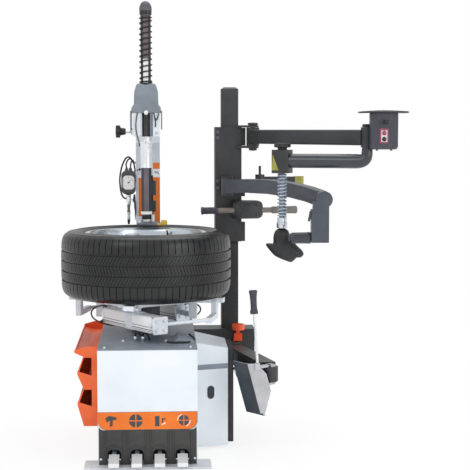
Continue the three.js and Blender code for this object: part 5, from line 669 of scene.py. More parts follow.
def cabinet():
    """Sheet body, top, base and dark apron; the strip with plain pictograms lies on the front sheet.

    Films are outlines of arcs and straight lines pushed through a fraction of a millimetre; ribs and arches on the
    apron are the same, pushed through some millimetres; hoses are circles carried along Catmull-Rom curves."""
    dressed("cabinet_body", "white_powder_coat", 2.0)
    dressed("top_cover", "grey_powder_coat", 1.0)
    dressed("base_frame", "base_plate_paint", 1.2)
    left, right = -198.0, 214.0
    strip = rounded(left + 1, right - 2.5, 158.5, 231, [36, 36, 0, 0], 9)
    edge = rounded(left + 0.4, right - 0.4, 156.4, 232.2, [37, 37, 0, 0], 9)
    parts = [(decal(edge, SHEET_FRONT, 0.25), "ink_grey"), (decal(strip, SHEET_FRONT - 0.2, 0.3), "orange_enamel")]
    y = SHEET_FRONT - 0.45
    ink = lambda outline: parts.append((decal(outline, y), "ink_grey"))
    mid = 195.0
    # a lever and an arrow for the tilting column
    x = -143.0
    ink([(x - 24, mid + 12), (x - 8, mid + 22), (x + 20, mid + 16), (x + 24, mid + 6), (x + 8, mid + 4),
         (x + 6, mid - 22), (x - 6, mid - 24), (x - 4, mid + 2), (x - 18, mid - 6)])
    # a disc cut by a cross for the clamping jaws
    for x, r in ((-41.0, 28), (157.0, 22)):
        for k in range(4):
            tip = arc(x, mid, 3, 1, 90 * k + 45)
            ink(np.vstack([arc(x, mid, r, 9, 90 * k + 6, 78), tip]))
    # a block beside a plate for the bead breaker
    x = 62.0
    ink(rectangle(x - 24, x - 6, mid - 24, mid + 19))
    ink([(x + 4, mid - 10), (x + 10, mid - 10), (x + 10, mid + 4), (x + 20, mid + 4), (x + 20, mid + 10),
         (x + 4, mid + 10)])
    parts.append((decal([(x + 4, mid - 20), (x + 20, mid - 12), (x + 18, mid - 8), (x + 4, mid - 15)], y), "ink_white"))
    for start in (110, -70):
        band = np.vstack([arc(157, mid, 27.5, 12, start, 70), arc(157, mid, 24.5, 12, start + 70, -70)])
        parts.append((decal(band, y), "ink_white"))
    piece("front_strip", parts, "chassis", smooth=30)
    # apron: channels between the pedals, screws at its sides, and a rounded lower edge
    dressed("pedal_cover", "apron_moulding", 1.2)
    parts = []
    for k in range(4):
        x = -131 + 94 * k
        for side in (-1, 1):
            rib = rounded(x + side * 37 - 3.2, x + side * 37 + 3.2, -501.4, -495, 2.4, 4)
            parts.append((prism("z", rib, 14, 150), "apron_moulding"))
        arch = np.vstack([arc(x, 58, 33, 15, 0, 180), arc(x, 58, 28.5, 15, 180, -180)])
        parts.append((prism("y", arch, -501.5, -496.8), "apron_moulding"))
    # a dark sheet behind the arches: painted shade for the unlit inside of the cabinet
    parts.append((block(-188, 204, -412, -410.6, 12, 150), "dark_opening"))
    for x in (-186, 202):
        parts.append((lathe([(0, 0), (6, 0), (5.2, 2.6), (2.6, 3.4), (0, 3.4)], (x, -497, 34), (0, -1, 0), 24),
                      "zinc_plate"))
    piece("apron_ribs", parts, "chassis", bevel=0.8)
    # screws, fittings and air line on the top
    parts = []
    for x, y0 in ((-98, -300), (84, -300), (-170, -470), (186, -470), (-170, 330), (190, 330)):
        parts.append((lathe([(0, 0), (9, 0), (9, 2), (5.5, 3), (5.5, 7), (3.5, 8.2), (0, 8.2)],
                            (x, y0, 492), (0, 0, 1), 24), "zinc_plate"))
    for x in (-46, -14):
        parts.append((rod((x, -280, 492), (x, -280, 512), 7, 20), "zinc_plate"))
        parts.append((sweep(curve([(x, -280, 510), (x + 2, -286, 524), (x + 12, -290, 528), (x + 24, -284, 516),
                                   (x + 30, -270, 494)], 20), 3.6, 10), "hose_rubber"))
    line = [(88, -350, 498), (130, -362, 497), (180, -352, 497), (206, -318, 500), (200, -280, 507), (186, -254, 514)]
    parts.append((sweep(curve(line, 40), 4.2, 12), "hose_rubber"))
    piece("top_fittings", parts, "chassis", smooth=60)


def pedals():
    """Folded pedals from their solids: pale plate below, and shaded zinc above the bend."""
    for k in range(4):
        dressed(f"pedal_{k + 1}", "pedal_plate", 1.2, paint=lambda c, n: "shaded_zinc" if c[2] > 58 else "pedal_plate")


def side_pieces():
    """Wing with its grey band, ribbed pad, tray with dark bins and the orange bucket holder.

    The band is a prism on the wing's slanting front, a straight line in x and y."""
    dressed("side_wing", "white_powder_coat", 1.6)
    near, far = 214.6, 356.0
    slant = lambda x: -224 + (x - 214.3) * 44 / 142.0
    outline = [(near + 0.5, slant(near) - 1.2), (far - 1, slant(far) - 1.2), (far - 1, slant(far) + 1),
               (near + 0.5, slant(near) + 1)]
    # a grey film where the wing's sheet bends, as painted shade
    piece("wing_band", [(prism("z", outline, 352, 374), "grey_powder_coat")], "chassis")
    dressed("wheel_pad", "moulded_rubber", 1.0)

    # inner walls of the bins take the darker copy of the tray's colour as painted shade
    def in_bin(c, n):
        inside = -281 < c[0] < -203 and -394 < c[1] < 344 and 156 < c[2] < 356
        return "tray_shadow_side" if inside and abs(n[1]) < 0.5 else "tray_moulding"

    dressed("tool_tray", "tray_moulding", 1.0, paint=in_bin)
    dressed("bucket_holder", "holder_enamel", 1.2)


def drive():
    """The drive and both air cylinders from their solids, each in its own finish."""
    for node, surface in (("gearbox", "iron_casting"), ("motor", "motor_enamel"), ("drive_belt", "hose_rubber"),
                          ("bead_cylinder", "anodised_tube"), ("worm_pulley", "iron_casting"),
                          ("motor_pulley", "iron_casting"), ("tilt_barrel", "anodised_tube"),
                          ("tilt_rod", "chrome_plate")):
        dressed(node, surface, 0.6)


# ---------------------------------------------------------------- column and arm

def column():
    """Square column from its solid; each panel is a rounded rectangle pushed through 0.7 mm, in three layers."""
    dressed("column", "white_powder_coat", 3.0)
    y = COLUMN_FRONT
    parts = []
    panel = lambda x0, x1, z0, z1, s: parts.append((prism("y", rounded(x0, x1, z0, z1, 1.5, 3), y - 0.5, y + 0.2), s))
    panel(-50, 62.4, 1178, 1330, "panel_grey")
    panel(-41, -20, 976, 1167, "ink_white")
    panel(28, 62.4, 948, 1169, "ink_white")
    y -= 0.4
    panel(-39, -22, 978, 1165, "orange_enamel")
    panel(30, 62.4, 950, 1167, "orange_enamel")
    panel(30, 62.4, 1171, 1206, "ink_white")
    panel(30, 62.4, 1207, 1236, "orange_enamel")
    panel(-22, 30, 950, 1176, "dark_opening")
    y -= 0.4
    panel(-22, 43, 1082, 1151, "teal_window")
    panel(-22, 43, 1003, 1056, "teal_window")
    for x, z, w in ((38, 1192, 5), (46, 1190, 4), (53, 1186, 4)):
        panel(x, x + w, z - 5, z + 4, "ink_grey")
    for x, z, r in ((-33, 1204, 6), (-44, 1200, 3.4), (50, 1193, 2.4)):
        parts.append((prism("y", arc(x, z, r, 20), y - 0.4, y + 0.4), "dark_opening"))
    piece("column_panels", parts, "column", smooth=30)


def arm():
    """Hollow arm, open-fronted head, guide sleeve, moulded cover with skirts, ball fitting and air lines.

    The arm is a rounded rectangle inside another, joined at both ends; sleeve, ring and collar are profiles turned
    about the shaft; the cover stacks rounded rectangles that shrink towards the collar."""
    left, right, z0, z1 = -39.0, 51.0, 1375.0, 1455.0
    outer, inner = rounded(left, right, z0, z1, 5, 4), rounded(left + 5, right - 5, z0 + 5, z1 - 5, 2, 4)
    beam = skin([flat("y", o, y) for o, y in ((outer, 305), (outer, 700), (inner, 700), (inner, 305))], wrap=True)
    head = [(-62, 190), (-18, 190), (-18, 226), (-21.4, 229), (-21.4, 271), (21.4, 271), (21.4, 229), (18, 226),
            (18, 190), (64, 190), (64, 310), (-62, 310)]
    parts = [(beam, "white_powder_coat"), (prism("z", head, 1361, 1469), "white_powder_coat")]
    tube = [(24.6, 1216), (27.4, 1216), (27.4, 1222), (26.6, 1224), (26.6, 1328), (27.5, 1331), (27.5, 1350),
            (24.6, 1350)]
    parts.append((on_shaft(tube), "bright_bar"))
    parts.append((on_shaft([(24.4, 1330), (29, 1330), (30, 1332), (30, 1338), (29, 1340), (24.4, 1340)]),
                  "dial_enamel"))
    parts.append((on_shaft([(24.4, 1340), (27.6, 1340), (27.6, 1361), (24.4, 1361)]), "bright_bar"))
    parts.append((rod((-2, SHAFT_Y - 26, 1335), (-2, SHAFT_Y - 31, 1335), 2.6, 16), "dark_opening"))
    for x0, x1, surface in ((-27, -18.2, "panel_grey"), (18.2, 32, "shaded_zinc")):
        parts.append((block(x0, x1, 189.2, 190.4, 1361.4, 1468.6), surface))
    for z in (1378, 1452):
        parts.append((hex_head((48, 190, z), (0, -1, 0), 12, 5), "zinc_plate"))
    piece("arm_beam", parts, "arm", ["horizontal_arm"], bevel=1.2)
    # cover: stacked rounded outlines whose half width and depth shrink towards the collar
    rows = [(1469.4, 69.6, 186, 395, 12), (1478, 69, 186, 391, 13), (1488, 67.6, 187, 386, 14),
            (1496, 65.4, 189, 382, 15), (1502, 61.4, 190, 379, 15), (1507, 57.0, 191, 376, 15),
            (1516, 56.0, 191, 372, 15), (1540, 55.4, 192, 358, 15), (1560, 54.8, 200, 344, 16),
            (1568, 54.2, 203, 339, 16), (1580, 50.6, 208, 328, 17), (1590, 47.6, 212, 315, 17),
            (1598, 44.8, 216, 304, 17), (1603, 40, 221, 294, 15), (1604.4, 34, 226, 284, 13)]
    rings = [flat("z", rounded(1 - half, 1 + half, front, back, r, 8), z) for z, half, front, back, r in rows]
    parts = [(skin(rings), "cover_moulding")]
    for x0, x1 in ((-72.8, -66.4), (68.4, 74.8)):
        flap = [(186, 1478), (186, 1412), (189, 1400), (214, 1393), (276, 1393), (286, 1403), (292, 1478)]
        parts.append((prism("x", flap, x0, x1), "cover_moulding"))
    parts.append((on_shaft([(30, 1598), (34, 1598), (34, 1605), (31, 1606.5), (30, 1606.5)], 48), "black_moulding"))
    piece("arm_hood", parts, "arm", ["arm_cover"], bevel=1.0)
    ball = [(10.2 * math.sin(t), -10.2 * math.cos(t)) for t in np.linspace(0, math.pi, 15)]
    parts = [(lathe(ball, (1, 178, 1470), (0, 0, 1), 32), "dial_enamel")]
    parts.append((rod((1, 192, 1470), (1, 186, 1470), 4.5, 16), "zinc_plate"))
    lines = ([(-38, 186, 1470), (-44, 181, 1440), (-46, 181, 1400), (-40, 182, 1362), (-32, 184, 1336),
              (-30, 196, 1318)], [(36, 187, 1468), (40, 180, 1448), (47, 180, 1436), (54, 182, 1450), (58, 187, 1466)],
             [(40, 180, 1446), (44, 181, 1424), (42, 186, 1404)])
    for points in lines:
        parts.append((sweep(curve(points, 30), 2.6, 10), "hose_rubber"))
    piece("arm_air_lines", parts, "arm", smooth=60)


def star_knob():
    """A six-lobed knob: radius 27.6 plus 4.8 times the cosine of six times the angle, crowned in thickness."""
    rows = ((-118, 0.6), (-119.4, 0.86), (-122, 1.0), (-136, 1.0), (-139, 0.93), (-140, 0.82))
    star = loft("x", lobed(SHAFT_Y, KNOB_Z, 27.6, 4.8, 6, 96), rows, (SHAFT_Y, KNOB_Z))
    parts = [(star, "black_moulding")]
    parts.append((rod((-119, SHAFT_Y, KNOB_Z), (-94, SHAFT_Y, KNOB_Z), 18, 40, 14.5), "black_moulding"))
    parts.append((rod((-139.8, SHAFT_Y, KNOB_Z), (-141, SHAFT_Y, KNOB_Z), 10, 32, lip=0.4), "ink_grey"))
    parts.append((rod((-96, SHAFT_Y, KNOB_Z), (-34, SHAFT_Y, KNOB_Z), 7.8, 32), "chrome_plate"))
    parts.append((lathe([(7.8, 0), (15, 0), (15, 5), (9.4, 12), (7.8, 12)], (-62.4, SHAFT_Y, KNOB_Z), (-1, 0, 0), 6,
                        True), "zinc_plate"))
    piece("star_grip", parts, "star_knob", ["star_knob"], smooth=32)


def shaft():
    """Hexagon bar with facet films, ribbed cap, coil, mount head with its hooked foot and yellow insert.

    The hexagon has its corners at the width over flats divided by the root of three; foot and insert stack one
    outline drawn in to its centre."""
    hexagon = lambda flats, z0, z1: prism("z", arc(0, SHAFT_Y, flats / math.sqrt(3), 6), z0, z1)
    parts = [(hexagon(41, 1006, 1602), "oiled_bar"), (hexagon(40.6, 1602.2, 1718), "oiled_bar"),
             (hexagon(41, 1718.2, 1925), "oiled_bar")]
    half = 41 / math.sqrt(3) / 2 - 0.4
    # films on the front facet only: painted highlight, and within the coil a white painted reflection
    for z0, z1, surface in ((1010, 1216, "ground_face"), (1340, 1601.4, "scaled_face"), (1602.8, 1717.4, "ink_white"),
                            (1719, 1912, "ground_face")):
        parts.append((block(-half, half, SHAFT_Y - 20.65, SHAFT_Y - 20.2, z0, z1), surface))
    cap = [(0, 1913), (23, 1913), (24.5, 1914), (26, 1925), (28, 1934), (29, 1942), (28.6, 1950), (26.4, 1960),
           (22, 1969), (17, 1975), (11, 1979), (5, 1980.8), (0, 1981)]
    parts.append((on_shaft(cap, closed=False), "dull_cap"))
    for k in range(4):
        parts.append((lathe([(24, 0), (28.8, 0.6), (29, 2), (28.8, 3.4), (24, 4)], (0, SHAFT_Y, 1919 - 0.1 + 5.2 * k),
                            sides=48, closed=True), "spring_wire"))
    piece("hexagon_bar", parts, "shaft", ["hex_shaft"], bevel=0.8, smooth=30)
    coil = helix(0, SHAFT_Y, 1608.2, 1909, 27.6, 13.4, 3.3)
    piece("shaft_coil", [(sweep(coil, 3.3, 10), "spring_wire")], "arm", ["shaft_spring"], smooth=60,
          between=("arm", "shaft", (0, 0.25, 1.612), (0, 0.25, 1.905)))
    stack = (([(0, 1000), (24.4, 1000), (26, 1002), (26, 1012), (24.4, 1014), (0, 1014)], "dial_enamel"),
             ([(0, 978), (20, 978), (20, 1000), (0, 1000)], "ink_grey"),
             ([(0, 958), (17, 958), (21, 964), (21, 976), (18, 979), (0, 979)], "dial_enamel"))
    parts = [(on_shaft(profile, 48, False), surface) for profile, surface in stack]
    for x0, x1, top in ((-44, -22, 992), (22, 37, 1000)):
        parts.append((prism("z", rounded(x0, x1, 222, 262, 5, 4), 957, top), "zinc_plate"))
    # foot: stacked outlines that grow downwards and hook forward over the wheel's edge
    base = np.array([(-44, 222), (-30, 215), (-6, 210), (20, 211), (44, 216), (58, 221), (66, 229), (66, 247),
                     (52, 256), (30, 266), (0, 266), (-24, 260), (-41, 244)])
    rows = ((950, 0.93), (952, 1.0), (960, 1.0), (964, 0.95), (968, 0.78))
    parts.append((loft("z", base, rows, (6, 240)), "forged_steel"))
    parts.append((hex_head((-2, 232, 988), (0, -1, 0), 19, 9), "black_moulding"))
    parts.append((rod((-2, 252, 988), (-2, 231, 988), 7, 20), "zinc_plate"))
    parts.append((rod((-20, 226, 966), (-34, 214, 966), 6.5, 24), "chrome_plate"))
    piece("mount_foot", parts, "shaft", ["mount_head"], bevel=0.8)
    insert = [(40, 219), (62, 216), (84, 220), (93, 226), (96, 232), (95, 239), (91, 244), (70, 248), (52, 245),
              (42, 236)]
    parts = [(loft("z", insert, ((951, 0.88), (952.6, 0.97), (957, 1.0), (961.5, 0.98))), "yellow_nylon")]
    tip = [(66.6, 221), (84, 221), (93, 227), (95, 233), (92, 243), (66.6, 247)]
    parts.append((loft("z", tip, ((955, 1.0), (968, 0.98), (972, 0.92), (974, 0.8))), "yellow_nylon"))
    piece("insert_tip", parts, "shaft", ["mount_insert"], bevel=0.6)


# ---------------------------------------------------------------- inflation set

HOSE = [(-57.5, 420, 1236), (-64, 420, 1237), (-71, 414, 1250), (-84, 404, 1263), (-101, 396, 1254), (-118, 392, 1215),
        (-127, 390, 1163), (-125, 390, 1118), (-119, 390, 1088), (-111, 390, 1073), (-102, 391, 1067), (-95, 391, 1067)]


def inflation_set():
    """Gauge in its rubber boot, gun with barrel and chuck, trigger, and the looped hoses.

    The boot's rings are a rounded rectangle whose size falls at the back and front edges, then steps in to the dial."""
    x, y, z = -86.0, 391.0, 1143.0
    outer = rounded(-34, 34, -57, 57, 25, 8)
    dial = rounded(-28, 28, -34, 34, 19, 8)
    ring = lambda o, k, depth: flat("y", (x, z) + o * k, y + depth)
    rings = [ring(outer, k, depth) for k, depth in ((0.9, 17), (0.98, 15), (1.0, 12), (1.0, -12), (0.98, -16),
                                                    (0.94, -17))]
    rings += [ring(dial, k, depth) for k, depth in ((1.08, -17), (1.0, -16), (1.0, -13))]
    parts = [(skin(rings), "boot_rubber")]
    face = y - 13.3
    parts.append((prism("y", ring(dial, 0.985, 0)[:, [0, 2]], face, face + 0.6), "dial_enamel"))
    for k in range(13):
        a = math.radians(225 - 22.5 * k)
        inner, outside = (22.5 if k % 3 else 19.5), 25.5
        across = np.array([-math.sin(a), math.cos(a)]) * (0.5 if k % 3 else 0.9)
        p0, p1 = inner * np.array([math.cos(a), math.sin(a)]), outside * np.array([math.cos(a), math.sin(a)])
        quad = np.array([p0 - across, p1 - across, p1 + across, p0 + across]) + (x, z)
        parts.append((prism("y", quad, face - 0.3, face + 0.1), "ink_grey"))
    needle = np.array([(-5.6, -3.5), (-3.5, -5.6), (17.6, 17.2), (17.2, 17.6)]) + (x, z)
    parts.append((prism("y", needle, face - 1.2, face - 0.7), "ink_grey"))
    parts.append((rod((x, face + 0.2, z), (x, face - 2.0, z), 3.4, 20, lip=0.4), "ink_grey"))
    for dx, r in ((-9, 8), (9, 9)):
        parts.append((rod((x + dx, y, z + 55), (x + dx, y, z + 69), r, 24, r - 2), "boot_rubber"))
    parts.append((block(x, -51.4, y + 12, y + 18, z + 8, z + 28), "zinc_plate"))
    parts.append((block(-57.3, -51.4, y + 10, y + 50, z - 2, z + 38), "zinc_plate"))
    loops = ([(-95, 392, 1212), (-97, 396, 1230), (-88, 402, 1250), (-74, 408, 1254), (-64, 412, 1238),
              (-57, 412, 1214), (-56, 412, 1180)],
             [(-77, 392, 1211), (-74, 398, 1236), (-66, 404, 1248), (-60, 408, 1230), (-55, 410, 1196)])
    for points in loops:
        parts.append((sweep(curve(points, 40), 3.6, 12), "hose_rubber"))
    piece("dial_gauge", parts, "column", ["air_gauge"], bevel=0.4, smooth=40)
    top = z - 57
    stack = ((((0, 0), (9, 0), (11, 3), (11, 12), (10, 14), (11.5, 17), (11.5, 44), (9.4, 50), (0, 50)),
              "chrome_plate"),
             (((0, 50), (9.2, 50), (7, 56), (6.6, 74), (8, 78), (8, 83), (0, 83)), "warm_grip"),
             (((0, 83), (7, 83), (8.6, 85), (8.6, 95), (6, 97), (6, 105), (8, 107), (8, 118), (0, 118)), "zinc_plate"),
             (((0, 118), (7, 118), (6.4, 130), (5, 138), (4.4, 142), (0, 142)), "black_moulding"))
    parts = [(lathe(profile, (x, y, top), (0, 0, -1), 32), surface) for profile, surface in stack]
    parts.append((rod((x - 8, y, 1067), (x - 13, y, 1067), 5.6, 24), "brass_turned"))
    parts.append((block(x + 8, -67.2, y - 4, y + 4, 1052, 1066), "chrome_plate"))
    piece("inflator_gun", parts, "column", ["air_gun"], smooth=32)
    lever = [(-66.7, 1062), (-62, 1086), (-54, 1087), (-51.6, 1050), (-50, 1006), (-54.5, 964), (-57, 964),
             (-57.6, 1008), (-60, 1022), (-61, 1046), (-65.5, 1050)]
    piece("gun_trigger", [(prism("y", lever, y - 6, y + 6), "blue_dip")], "gun_lever", ["gun_lever"],
          bevel=1.6)
    path = curve(HOSE, 90)
    hose = piece("inflator_hose", [(sweep(path, 3.95, 14), "hose_rubber")], "column", ["air_hose"],
                 smooth=60)


# ---------------------------------------------------------------- help tower

def tower():
    """Post and carriage from their solids, with guide screws, cap, and web blocks between the carriage's lugs."""
    dressed("help_post", "dark_powder_coat", 1.6)
    screws = []
    for x, z in ((334, 1381), (334, 1354), (334, 1152), (334, 1119), (334, 1010), (334, 900), (432, 1152), (432, 900),
                 (432, 1381)):
        screws.append((rod((x, 288.2, z), (x, 285.8, z), 7, 24, lip=0.6),
                       "cover_moulding" if x == 334 else "dark_smooth_coat"))
        screws.append((hex_head((x, 286, z), (0, -1, 0), 9, 3), "ink_grey"))
    for z in (1375, 1330, 1150, 930):
        for y in (320, 380):
            screws.append((hex_head((445, y, z), (1, 0, 0), 13, 6), "dark_smooth_coat"))
    screws.append((lathe([(0, 0), (21, 0), (24, 2), (24, 8), (20, 11), (0, 12)], (495, 250, 1413.8), (0, 0, 1), 48),
                   "dark_powder_coat"))
    screws.append((block(445.2, 464, 293, 336, 1318.5, 1401.5), "dark_powder_coat"))
    screws.append((block(445.2, 462, 300, 330, 1080, 1160), "dark_powder_coat"))
    dressed("carriage", "dark_powder_coat", 1.0, screws)


def arms():
    """Upper arm, middle arm, leg and latch arm from their solids; the second arm is a circle carried along a path.

    The path's elbow is a cubic Bezier curve in the plane of the arm, and its radius grows from 22 to 30 mm."""
    dressed("upper_arm", "dark_powder_coat", 1.2)
    dressed("mid_arm", "arm_coat", 1.6)
    tip = lambda c, n: "olive_nylon" if c[0] > 694 else "dark_powder_coat"
    dressed("latch_arm", "dark_powder_coat", 1.2, paint=tip)
    dressed("roller_leg", "arm_coat", 1.6)
    elbow, press = np.array([915.0, -478.0]), np.array(PRESS)
    length = float(np.linalg.norm(press - elbow))
    u = (press - elbow) / length
    at = lambda d, z: (*(elbow + u * d), z)
    a, b, c, d = (np.array(p, float) for p in ((0, 1319.7), (0, 1288), (-4, 1262), (44, 1262)))
    t = np.linspace(0, 1, 16)[:, None]
    elbow_line = (1 - t) ** 3 * a + 3 * (1 - t) ** 2 * t * b + 3 * (1 - t) * t ** 2 * c + t ** 3 * d
    path = np.array([at(*p) for p in elbow_line] + [at(r, 1262) for r in (90, 180, 270, length - 30)])
    parts = [(sweep(path, np.interp(np.arange(len(path)), [0, 6, 15], [22, 24, 30]), 48), "dark_smooth_coat")]
    parts.append((rod(at(0, 1310), at(0, 1413), 14.9, 40), "chrome_plate"))
    parts.append((hex_head(at(0, 1402.4), (0, 0, 1), 37, 13), "black_moulding"))
    yaw = math.degrees(math.atan2(-u[1], -u[0]))
    socket = prism("z", rounded(-37, 37, -37, 37, 9, 6), 1210, 1308)
    patch = prism("y", [(-33, 1222), (-4, 1222), (-30, 1290)], -37.6, -36.9)
    for shape, surface in ((socket, "dark_powder_coat"), (patch, "olive_nylon")):
        parts.append((turned_about(shape, yaw, PRESS), surface))
    piece("round_arm", parts, "second_arm", ["second_arm"], bevel=1.0, smooth=32)


def control_box():
    """Plastic box with a crowned hand plate, a two-disc label, nubs, joystick and rocker.

    The box is a rounded rectangle drawn in at its front, with a pocket; the plate's height falls as a cosine of x."""
    parts = []
    box_front = -560
    for left, front, back in ((918.0, box_front, -509), (943.5, -509.2, -470)):
        outline = rounded(left, 1029, 1312, 1462, [6, 14, 6, 6], 8)
        centre = np.array([(left + 1029) / 2, 1387.0])
        rings = [flat("y", centre + (outline - centre) * k, y)
                 for y, k in ((back, 1.0), (front + 5, 1.0), (front + 2, 0.99), (front, 0.965))]
        if front == box_front:
            pocket = rounded(957.4, 984.6, 1341, 1391, 2, 8)
            rings += [flat("y", pocket, front), flat("y", pocket, front + 9)]
        parts.append((skin(rings), "box_moulding"))
    middle, half = np.array([975, -512]), 99
    outline = rounded(middle[0] - half, middle[0] + half, -576, -448, 24, 9) - middle
    crown = lambda x, dz: 1466 + 2.8 * np.cos(x / half * math.pi) + dz
    rim = ((0.0, 3.8), (0.5, 3.8), (0.94, 3.8), (0.985, 2.6))
    rows = [(k, -dz) for k, dz in rim] + [(1.0, 0)] + list(rim[::-1])
    shell = [np.column_stack([middle + outline * k, crown(outline[:, 0] * k, dz)]) for k, dz in rows]
    parts.append((skin(shell, caps=False), "dark_powder_coat"))
    for x0, x1, z0, z1 in ((954.4, 957, 1338, 1396), (985, 987.6, 1338, 1396), (957, 985, 1391.4, 1396),
                           (957, 985, 1338, 1340.6)):
        parts.append((prism("y", rectangle(x0, x1, z0, z1), -560.8, -560.1), "label_edge"))
    for x in (952, 1011):
        parts.append((rod((x, -498, 1306.5), (x, -498, 1314), 5, 20), "black_moulding"))
    for z in (1324, 1446):
        parts.append((lathe([(0, 0), (3.6, 0), (3, 1.6), (0, 2)], (1019 if z > 1400 else 1008, -560.2, z), (0, -1, 0),
                            20), "ink_grey"))
    piece("control_housing", parts, "upper_arm", ["control_box"], smooth=35)
    x, z = STICK
    parts = [(rod((x, -544, z), (x, -582, z), 4, 20), "zinc_plate")]
    pivot = [(0, -8), (4, -7), (7, -4), (8, -1), (8, 1), (7, 4), (4, 7), (0, 8)]
    ball = [(0, -12), (4, -11.6), (8, -9), (10.6, -5), (11, 0), (10.6, 5), (8, 9), (4, 11.6), (0, 12)]
    for profile, y, sides in ((pivot, -557.5, 32), (ball, -590, 40)):
        parts.append((lathe(profile, (x, y, z), (0, -1, 0), sides), "black_moulding"))
    piece("joystick_ball", parts, "joystick", ["joystick"], smooth=50)
    rocker = [(-556.4, 1342.4), (-563.6, 1342.4), (-564, 1346), (-562, 1366), (-564, 1386), (-563.6, 1389.6),
              (-556.4, 1389.6)]
    parts = [(prism("x", rocker, 958.4, 983.6), "label_film")]
    for z, surface in ((1379, "label_red"), (1353.5, "black_moulding")):
        parts.append((lathe([(0, 0), (9.4, 0), (9.4, 1.4), (8.6, 2), (0, 2)], (971, -562.4, z), (0, -1, 0), 40),
                      surface))
    piece("lift_rocker", parts, "rocker_switch", ["rocker_switch"], bevel=0.8)


def press_set():
    """Zinc rod with a lobed nut, coil spring, stepped hub, and the winged rubber press block.

    The block is one smooth outline, drawn in towards both faces by a power of the distance from the middle."""
    x, y = PRESS
    profile = [(0, 977.5), (22, 977.5), (23, 979), (23, 1001), (21.5, 1003), (20, 1003), (20, 1020), (18.5, 1022),
               (0, 1022)]
    spindle = [(0, 1021), (12.4, 1021), (12.4, 1308.5), (0, 1308.5)]
    parts = [(lathe(profile, (x, y, 0), sides=56), "zinc_plate"), (lathe(spindle, (x, y, 0), sides=40), "shaded_zinc")]
    rows = ((1308.4, 0.56), (1317, 0.58), (1318, 0.94), (1320, 1.0), (1332, 1.0), (1335, 0.94), (1336, 0.8))
    parts.append((loft("z", lobed(x, y, 33.4, 2.8, 7, 84), rows, PRESS), "black_moulding"))
    piece("press_spindle", parts, "press", ["press_rod"], smooth=34)
    coil = helix(x, y, 1027, 1205.5, 17.0, 13.5, 3.4)
    piece("press_coil", [(sweep(coil, 3.4, 10), "spring_zinc")], "second_arm", ["press_spring"],
          smooth=60,
          between=("second_arm", "press", (0.578, -0.33, 1.203), (0.578, -0.33, 1.03)))
    outline = curve([(0, 0), (14, -2), (27, -12), (34, -30), (44, -48), (64, -74), (86, -96), (92, -112), (80, -125),
                     (64, -126), (50, -138), (38, -145), (20, -140), (-6, -130), (-32, -116), (-54, -92), (-68, -72),
                     (-62, -65), (-46, -70), (-37, -62), (-36, -34), (-28, -12), (-14, -2),
                     (0, 0)], 120)[:-1] + (x, 977.0)
    middle = np.array([x + 4, 897.0])
    rings = []
    for t in np.linspace(-1, 1, 17):
        k = (1 - 0.42 * abs(t) ** 2.6) if abs(t) < 1 else 0.5
        ring = middle + (outline - middle) * (k, 0.5 + 0.5 * k)
        ring[:, 1] = np.minimum(ring[:, 1], 976.9 - 26 * abs(t) ** 2)
        rings.append(flat("y", ring, y + 34 * t))
    piece("press_wings", [(skin(rings), "moulded_rubber")], "press", ["press_block"], smooth=50)


def roller_and_handle():
    """Waisted roller on the leg, and the handle bar with its two grips and cast clamp.

    Roller and grips are profiles turned about their axes; the clamp stacks an outline drawn in at both ends."""
    profile = [(8.6, 0), (17, 0), (20, 3), (22.4, 8), (23, 20), (23.6, 60), (24.6, 74), (24.8, 82), (23, 86), (8.6, 86)]
    piece("press_roller", [(lathe(profile, (602, -430, 943), (1, 0, 0), 56, True), "dark_smooth_coat")], "roller",
          ["roller"], smooth=32)
    left, right = np.array([253.0, 196, 1019]), np.array([702.0, 258, 1019])
    d = unit(right - left)
    parts = [(rod(left + d * 4, right - d * 4, 12.6, 32), "warm_grip")]
    ribs = [(15.4 + 0.9 * (k % 2), 13 + 3.2 * k) for k in range(18)]
    ribbed = [(0, 0), (15, 0), (17.6, 1.5), (18, 4), (18, 8), (15.5, 11), *ribs, (15, 73), (12.5, 77), (0, 77)]
    plain = [(0, 0), (15, 0), (17.6, 2), (18, 6), (17.4, 30), (16.4, 90), (16.6, 116), (14, 122), (0, 122)]
    parts.append((lathe(ribbed, left, d, 40), "violet_grip"))
    parts.append((lathe(plain, right, -d, 40), "warm_grip"))
    clamp = np.array([(400, 287.7), (402, 214), (412, 200), (430, 195), (500, 204), (530, 214), (541, 229.8),
                      (538, 262), (526, 300), (480, 318), (445.4, 323.7), (445.4, 287.7)])
    centre = np.array([455.0, 262.0])
    layers = [flat("z", np.where(clamp > (400.5, 0), centre + (clamp - centre) * k, clamp), z)
              for z, k in ((980, 0.78), (986, 0.92), (998, 1.0), (1042, 1.0), (1056, 0.93), (1062, 0.8))]
    parts.append((skin(layers), "dark_powder_coat"))
    for z in (996, 1046):
        for t in (0.42, 0.58):
            spot = left + (right - left) * t
            parts.append((hex_head((spot[0], spot[1] - 24.5, z), (0.12, -1, 0), 12, 5), "ink_grey"))
    piece("push_bar", parts, "carriage", ["handle_bar"], bevel=2.0)


def bead_breaker():
    """Arm, rod and blade from their solids, the blade's shoe dark; the handle's grip is a turned profile."""
    dressed("bead_arm", "dark_powder_coat", 1.6)
    dressed("bead_rod", "chrome_plate", 0.6)
    shoe = lambda c, n: "slate_shoe" if n[0] < -0.2 or (n[0] < 0.35 and c[0] < 500 and n[1] > 0.2) else "blade_paint"
    dressed("bead_blade", "blade_paint", 1.2, paint=shoe)
    foot, shoulder, top = np.array([473.0, -348, 402.9]), np.array([460.0, -334, 612]), np.array([455.0, -328, 712])
    parts = [(rod(foot, shoulder + (0, 0, 12), 5.8, 24), "chrome_plate")]
    d = unit(top - shoulder)
    grip = [(0, 0), (16, 0), (17, 2), (17, 12), (15, 17), (14, 22), (13.4, 40), (14.2, 66), (16, 84), (17.6, 92),
            (17.8, 98), (15, 101), (0, 101)]
    parts.append((lathe(grip, shoulder, d, 48), "violet_grip"))
    piece("blade_grip", parts, "bead_blade", ["blade_handle"], smooth=34)


# ---------------------------------------------------------------- stage

